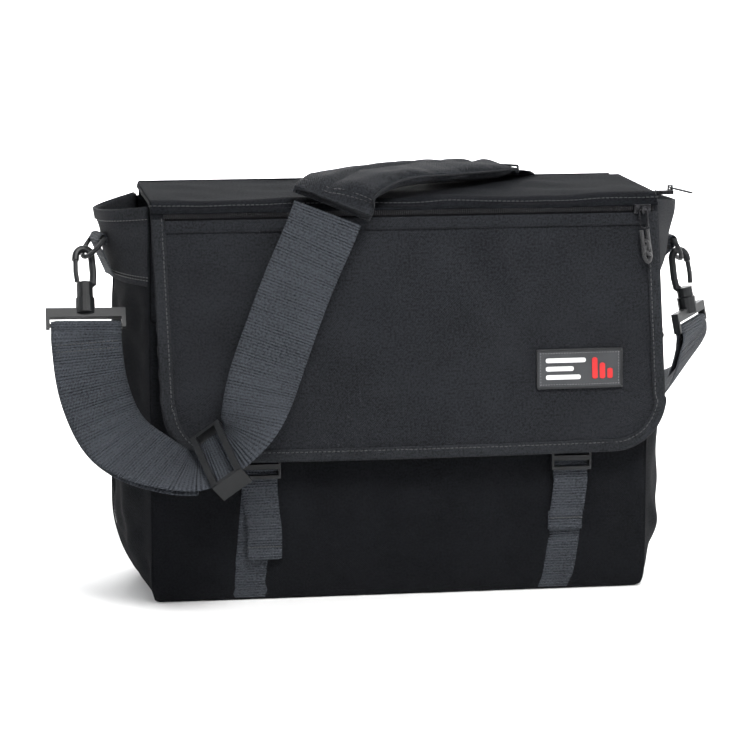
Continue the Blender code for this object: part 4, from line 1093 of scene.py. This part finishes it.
PAD_RUN = [((-52.5, -83, 291), (-0.97, 0.05, 0.15)), ((-45, -72, 300), (-0.9, 0.4, 0.1)),
           ((-16, -43, 304.5), (-0.75, 0.66, 0)), ((25, -10, 303.5), (-0.68, 0.73, 0)),
           ((58, 18, 302), (-0.72, 0.69, 0)), ((80, 42, 300.5), (-0.9, 0.4, 0))]
RIGHT_RUN = [((232.6, 13.6, 182.8), (0.56, 0.82, 0.06)), ((233.5, 13.4, 177.9), (0.56, 0.82, 0.06)),
             ((235, 13.2, 169.5), (0.56, 0.82, 0.06)), ((232, 26, 153), (0.5, 0.85, 0.15)),
             ((227, 47, 136), (0.42, 0.86, 0.3)), ((209, 70, 121), (0.3, 0.88, 0.36)),
             ((182, 89, 110), (0.1, 0.93, 0.35)), ((155, 95, 113), (-0.1, 0.95, 0.3)),
             ((132, 93, 133), (-0.3, 0.9, 0.25)), ((119, 87, 165), (-0.6, 0.75, 0.1)),
             ((111, 79, 210), (-0.87, 0.48, 0)), ((105, 70, 262), (-0.98, 0.15, 0))]
BRIDGE_RUN = [((105, 70, 262), (-0.98, 0.15, 0)), ((103, 70, 278), (-0.98, 0.15, 0)),
              ((99.5, 66.5, 291), (-0.96, 0.25, 0)), ((92, 56, 298.5), (-0.93, 0.35, 0)),
              ((80, 42, 300.5), (-0.9, 0.4, 0)), ((72, 33, 301), (-0.85, 0.5, 0))]


def strap_frames(stations, hold=12.0, rounds=130):
    """Frames of a strap run whose two edges are eased, so that neither folds back; its first part is held."""
    centre, _, across, _ = run_frames(stations, 16)
    rows = resample(np.hstack([centre, across]), 1.2)
    half = STRAP_WIDTH / 2
    edges = [rows[:, :3] + unit(rows[:, 3:]) * half * side for side in (-1, 1)]
    free = np.clip((travelled(rows[:, :3]) - hold) / 8, 0, 1)[:, None]
    for _ in range(rounds):
        for edge in edges:
            eased = edge.copy()
            eased[1:-1] = (edge[:-2] + 2 * edge[1:-1] + edge[2:]) / 4
            edge += (eased - edge) * free
    centre = (edges[0] + edges[1]) / 2
    ahead = unit(np.gradient(centre, axis=0))
    across = edges[1] - edges[0]
    across = unit(across - ahead * (across * ahead).sum(axis=1, keepdims=True))
    return centre, ahead, across, np.cross(ahead, across)


def layer_path(frames):
    """Rows of (point, width vector, normal) on the outer layer of a doubled strap."""
    centre, _, across, normal = frames
    return np.hstack([centre + normal * LAYER, across, normal])


def looped_path(frames, tail):
    """Path of a strap that comes along its outer layer, turns over the crossbar and goes back under."""
    centre, ahead, across, normal = frames
    far = np.linalg.norm(centre - centre[0], axis=1)
    lift = CUFF + (LAYER - CUFF) * ease((far - 4.5) / 7)
    outer = np.hstack([centre + normal * lift[:, None], across, normal])[::-1]
    turn = []
    for angle in np.linspace(0, math.pi, 14)[1:-1]:
        face = normal[0] * math.cos(angle) - ahead[0] * math.sin(angle)
        turn.append(np.concatenate([centre[0] + face * CUFF, across[0], face]))
    under = np.hstack([centre - normal * lift[:, None], across, -normal])[:tail]
    return np.vstack([outer, turn, under])


def strap_stitches(name, frames, places):
    """Rows of stitches across a strap, at distances from its first frame."""
    centre, _, across, normal = frames
    offs, lift = np.linspace(-21, 21, 30)[:, None], LAYER + 0.9
    rows = []
    for i in (nearest(travelled(centre), place) for place in places):
        rows.append(stitch_part(centre[i] + across[i] * offs + normal[i] * lift, normal[i], 3.0, 2.3, 0.36))
    new_piece(name, rows, THREAD, "bag")


def wide_webbing(path, width=STRAP_WIDTH):
    """Shoulder webbing along a path, as the parts of one piece."""
    return [webbing_part(path, width, STRAP_THICK)]


def straps():
    """Webbing of the shoulder strap, with its bridge over the back edge."""
    whole = strap_frames(LEFT_RUN + FRONT_RUN)
    adjuster = FRONT_RUN[2][0]
    cut = int(np.argmin(np.linalg.norm(whole[0] - adjuster, axis=1)))
    lower = tuple(part[:cut + 1] for part in whole)
    upper = tuple(part[cut:] for part in whole)
    piece = new_piece("strap_lower", wide_webbing(looped_path(lower, len(lower[0]))), WEBBING)
    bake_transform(piece)
    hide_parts("strap_left_run", "strap_loop_inner")
    new_piece("strap_front", wide_webbing(layer_path(upper)), WEBBING, "flap", ["strap_front_run"])
    strap_stitches("strap_stitches_left", lower, (14.0, 19.5))

    rear = strap_frames(RIGHT_RUN, 5.0, 200)
    path = looped_path(rear, nearest(travelled(rear[0]), 34))
    new_piece("strap_rear", wide_webbing(path), WEBBING, "bag", ["strap_rear_run"])
    strap_stitches("strap_stitches_right", rear, (13.0, 18.5))
    path = layer_path(strap_frames(BRIDGE_RUN))
    bridge = new_piece("strap_bridge", wide_webbing(path, STRAP_WIDTH - 0.4), WEBBING)
    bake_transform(bridge)


def shoulder_pad():
    """Padded sleeve in two lobes, with a fold between them and sewn ends."""
    centre, _, across, normal = run_frames(PAD_RUN, 26)
    length = travelled(centre)
    ends = 0.42 + 0.58 * ease(np.minimum(length, length[-1] - length) / 20)
    turns = np.linspace(0, 2 * math.pi, 84, endpoint=False)
    cos, sin = np.cos(turns)[None], np.sin(turns)[None]
    s = length[:, None]
    wide = np.sign(cos) * np.abs(cos) ** 0.62
    flank = 28.2 + 0.7 * ripple(s + 0 * cos, wide * 9, 30, 141)
    a = wide * flank
    fold_at = 2.0 + 3.5 * np.sin(s / 42 + 0.4)
    upper = np.abs(sin) ** 0.62 * np.where(sin > 0, 7.0, -7.2)
    groove = np.exp(-((a - fold_at) / 4.2) ** 2) * (sin > 0) * 4.4
    groove = groove * ease(s / 16) * ease((length[-1] - s) / 24)
    swell = (0.55 * ripple(s, a, 24, 143) + 0.7 * ripple(s, a * 0.5, 44, 145)) * (np.abs(sin) > 0.15)
    pucker = 0.35 * ripple(s, a, 9, 147) * np.exp(-((np.abs(wide) - 0.96) / 0.06) ** 2)
    n = (upper * ends[:, None] - groove + (swell + pucker) * np.sign(sin) * np.where(sin > 0, 1, 0.2))
    profile = np.stack([a, n], axis=2)
    sleeve = swept_part(centre, across, normal, profile)
    pad = new_piece("shoulder_pad_sleeve", [sleeve], CORDURA, "flap", ["shoulder_pad"])
    rim, rows = [], []
    for sign in (-1, 1):
        rim.append(tube_part(centre + across * (sign * 28.6) + normal * 0.2, 1.1, 8))
    for k in (0, -1):
        offs = np.linspace(-28.4, 28.4, 40)[:, None]
        high, low = (centre[k] + across[k] * offs + normal[k] * lift for lift in (2.6, -2.6))
        rim.append(tube_part(np.vstack([high, low[::-1], high[:1]]), 1.0, 8))
    for place in (6, 9):
        offs = np.linspace(-26, 26, 60)[:, None]
        k = nearest(length, place)
        tall = 7.0 * ends[k] * np.maximum(1 - (np.abs(offs) / 28.2) ** 3.2, 0) ** 0.31
        dip = np.exp(-((offs - fold_at[k]) / 4.2) ** 2) * 4.4 * ease(length[k] / 16)
        rows.append(stitch_part(centre[k] + across[k] * offs + normal[k] * (tall - dip + 0.35), normal[k]))
    new_piece("pad_rim", rim, TAPE, "flap")
    new_piece("pad_stitches", rows, THREAD, "flap")


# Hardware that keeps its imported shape, with softened edges and real finishes

def dress(nodes, material, bevel=0.0, segments=2):
    """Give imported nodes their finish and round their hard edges."""
    for node in nodes:
        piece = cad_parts[node]
        piece.data.materials.clear()
        piece.data.materials.append(material)
        if bevel:
            change = piece.modifiers.new("soft_edges", "BEVEL")
            change.width = bevel * MM
            change.segments = segments
            change.limit_method = "ANGLE"
            change.angle_limit = math.radians(38)
            change.use_clamp_overlap = True


def hardware():
    """Finishes of the moulded and cast parts."""
    both = ("left", "right")
    dress(["tri_glide"], PLASTIC, 0.5)
    dress([f"{kind}_{word}" for kind in ("d_ring", "hook", "hook_gate") for word in both], PLASTIC)
    dress([f"strap_loop_{word}" for word in both], PLASTIC, 0.45)
    dress([f"buckle_{half}_{word}" for half in ("male", "female") for word in both], PLASTIC, 0.4)
    dress([f"{zip_}_slider" for zip_ in ("flap_zip", "main_zip")], ZINC, 0.3)
    dress([f"expansion_slider_{word}" for word in ("upper", "lower")], ZINC, 0.3)
    dress([f"{zip_}_puller" for zip_ in ("flap_zip", "main_zip")], ZINC)
    dress([f"expansion_puller_{word}" for word in ("upper", "lower")], ZINC)
    dress(["base_board"], BOARD)


def ring_tabs():
    """Webbing tabs that hold the D-rings' bars."""
    places = {"left": ((-212.5, -7, 260), (0.22, -0.975, 0)), "right": ((214.5, 15, 248), (-0.1, 0.99, 0))}
    for word, (bar, along) in places.items():
        side = -1 if word == "left" else 1
        bar, along = np.array(bar, float), unit(along)
        wrap = 1.9 + 0.3 + 0.9
        foot_y = bar[1] - 1
        reach = max(gusset_x(foot_y, GUSSET_TOP), ear_x(foot_y, GUSSET_TOP + 4)) + 2.4
        outward = np.array((-along[1], along[0], 0))
        outward = outward * math.copysign(1, outward[0] * side)
        foot = np.array((side * reach, foot_y, GUSSET_TOP + 4))
        marks = [foot - (0, 0, 3), foot + outward * 1.0, bar + outward * wrap + (0, 0, -3)]
        marks += [bar + outward * wrap * math.cos(t) + np.array((0, 0, wrap * math.sin(t)))
                  for t in np.linspace(0, math.pi, 6)]
        marks += [bar - outward * wrap * 0.6 + (0, 0, -5.0)]
        path = flat_path(marks, along, 8)
        new_piece(f"tab_webbing_{word}", [webbing_part(path, 23.8, 1.3, 1.8, 10)], WEBBING, "bag",
                  [f"tab_{word}"])
        offs = np.linspace(-9, 9, 14)[:, None]
        sewn = path[12]
        face = sewn[6:] * math.copysign(1, sewn[6:].dot(outward))
        new_piece(f"tab_stitches_{word}", [stitch_part(sewn[:3] + along * offs + face * 0.8, face)], THREAD,
                  "bag")


CLOSURES = {"left": (-103.5, -100.6, -111.0, 33.0), "right": (123.5, 120.0, 115.0, 48.0)}


def narrow(marks, per_span):
    """Closure webbing through marks, as the parts of one piece."""
    return [webbing_part(flat_path(marks, (1, 0, 0), per_span), 25.0, 1.4, 1.9, 12)]


def closures():
    """Webbing of the two front closures: lower strap, folded tail and flap tab."""
    for word, (x, tail_x, foot_x, tail_end) in CLOSURES.items():
        def bed(middle, z):
            """Outermost depth of the pocket's cloth across the strap's width."""
            return pocket_front(middle + np.linspace(-12.5, 12.5, 9), z).min()

        lean = (x - foot_x) / 86
        marks = [(foot_x + lean * (z - 4), bed(foot_x + lean * (z - 4), z) - 1.2, z)
                 for z in (1.5, 6, 14, 24, 36, 48, 60, 70, 80)]
        marks += [(x, -67.6, 90), (x, -68.4, 96), (x, -69.0, 100)]
        strap = new_piece(f"closure_webbing_{word}", narrow(marks, 10), WEBBING)
        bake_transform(strap)
        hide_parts(f"closure_strap_{word}")

        def over(z):
            """Depth of the tail in front of the cloth at one height."""
            return min(bed(tail_x, z), -66.0) - 4.4
        marks = [(x, -69.8, 98.5), (x, -70.3, 90), (x, min(-70.8, over(82)), 82),
                 ((x + tail_x) / 2, over(66), 66), (tail_x, over(52) - 0.4, max(52, tail_end + 8)),
                 (tail_x, over(tail_end) - 0.6, tail_end)]
        line = spread(marks, 12)
        fold = [line[-1] + (0, 1.4 * math.sin(t) + 1.35 * (1 - math.cos(t)), -1.1 * math.sin(t))
                for t in (0.5, 1.2, 1.9, 2.6)]
        back = [line[-1] + (0, 2.2, rise) for rise in (0.6, 4, 8, 12.5)]
        line = np.vstack([line, fold, back])
        new_piece(f"tail_webbing_{word}", narrow(line, 0), WEBBING, f"buckle_{word}",
                  [f"closure_tail_{word}"])
        offs = np.linspace(-11.5, 11.5, 40)
        zigzag = line[nearest(line[:60, 2], tail_end + 8)] + at(offs, -0.95, 0.5 * np.sin(offs * 1.6))
        new_piece(f"tail_stitches_{word}", [stitch_part(zigzag, (0, -1, 0), 2.2, 2.0, 0.4)], THREAD,
                  f"buckle_{word}")
        edge = x + math.copysign(12.5, x)
        marks = [(x, float(flap_y(edge, z)) + 4.4, z) for z in (160, 170, 180, 190, 203, 216)]
        new_piece(f"flap_tab_{word}", narrow(marks, 8), WEBBING, "flap", [f"closure_tab_{word}"])


straps()
shoulder_pad()
ring_tabs()
closures()
hardware()
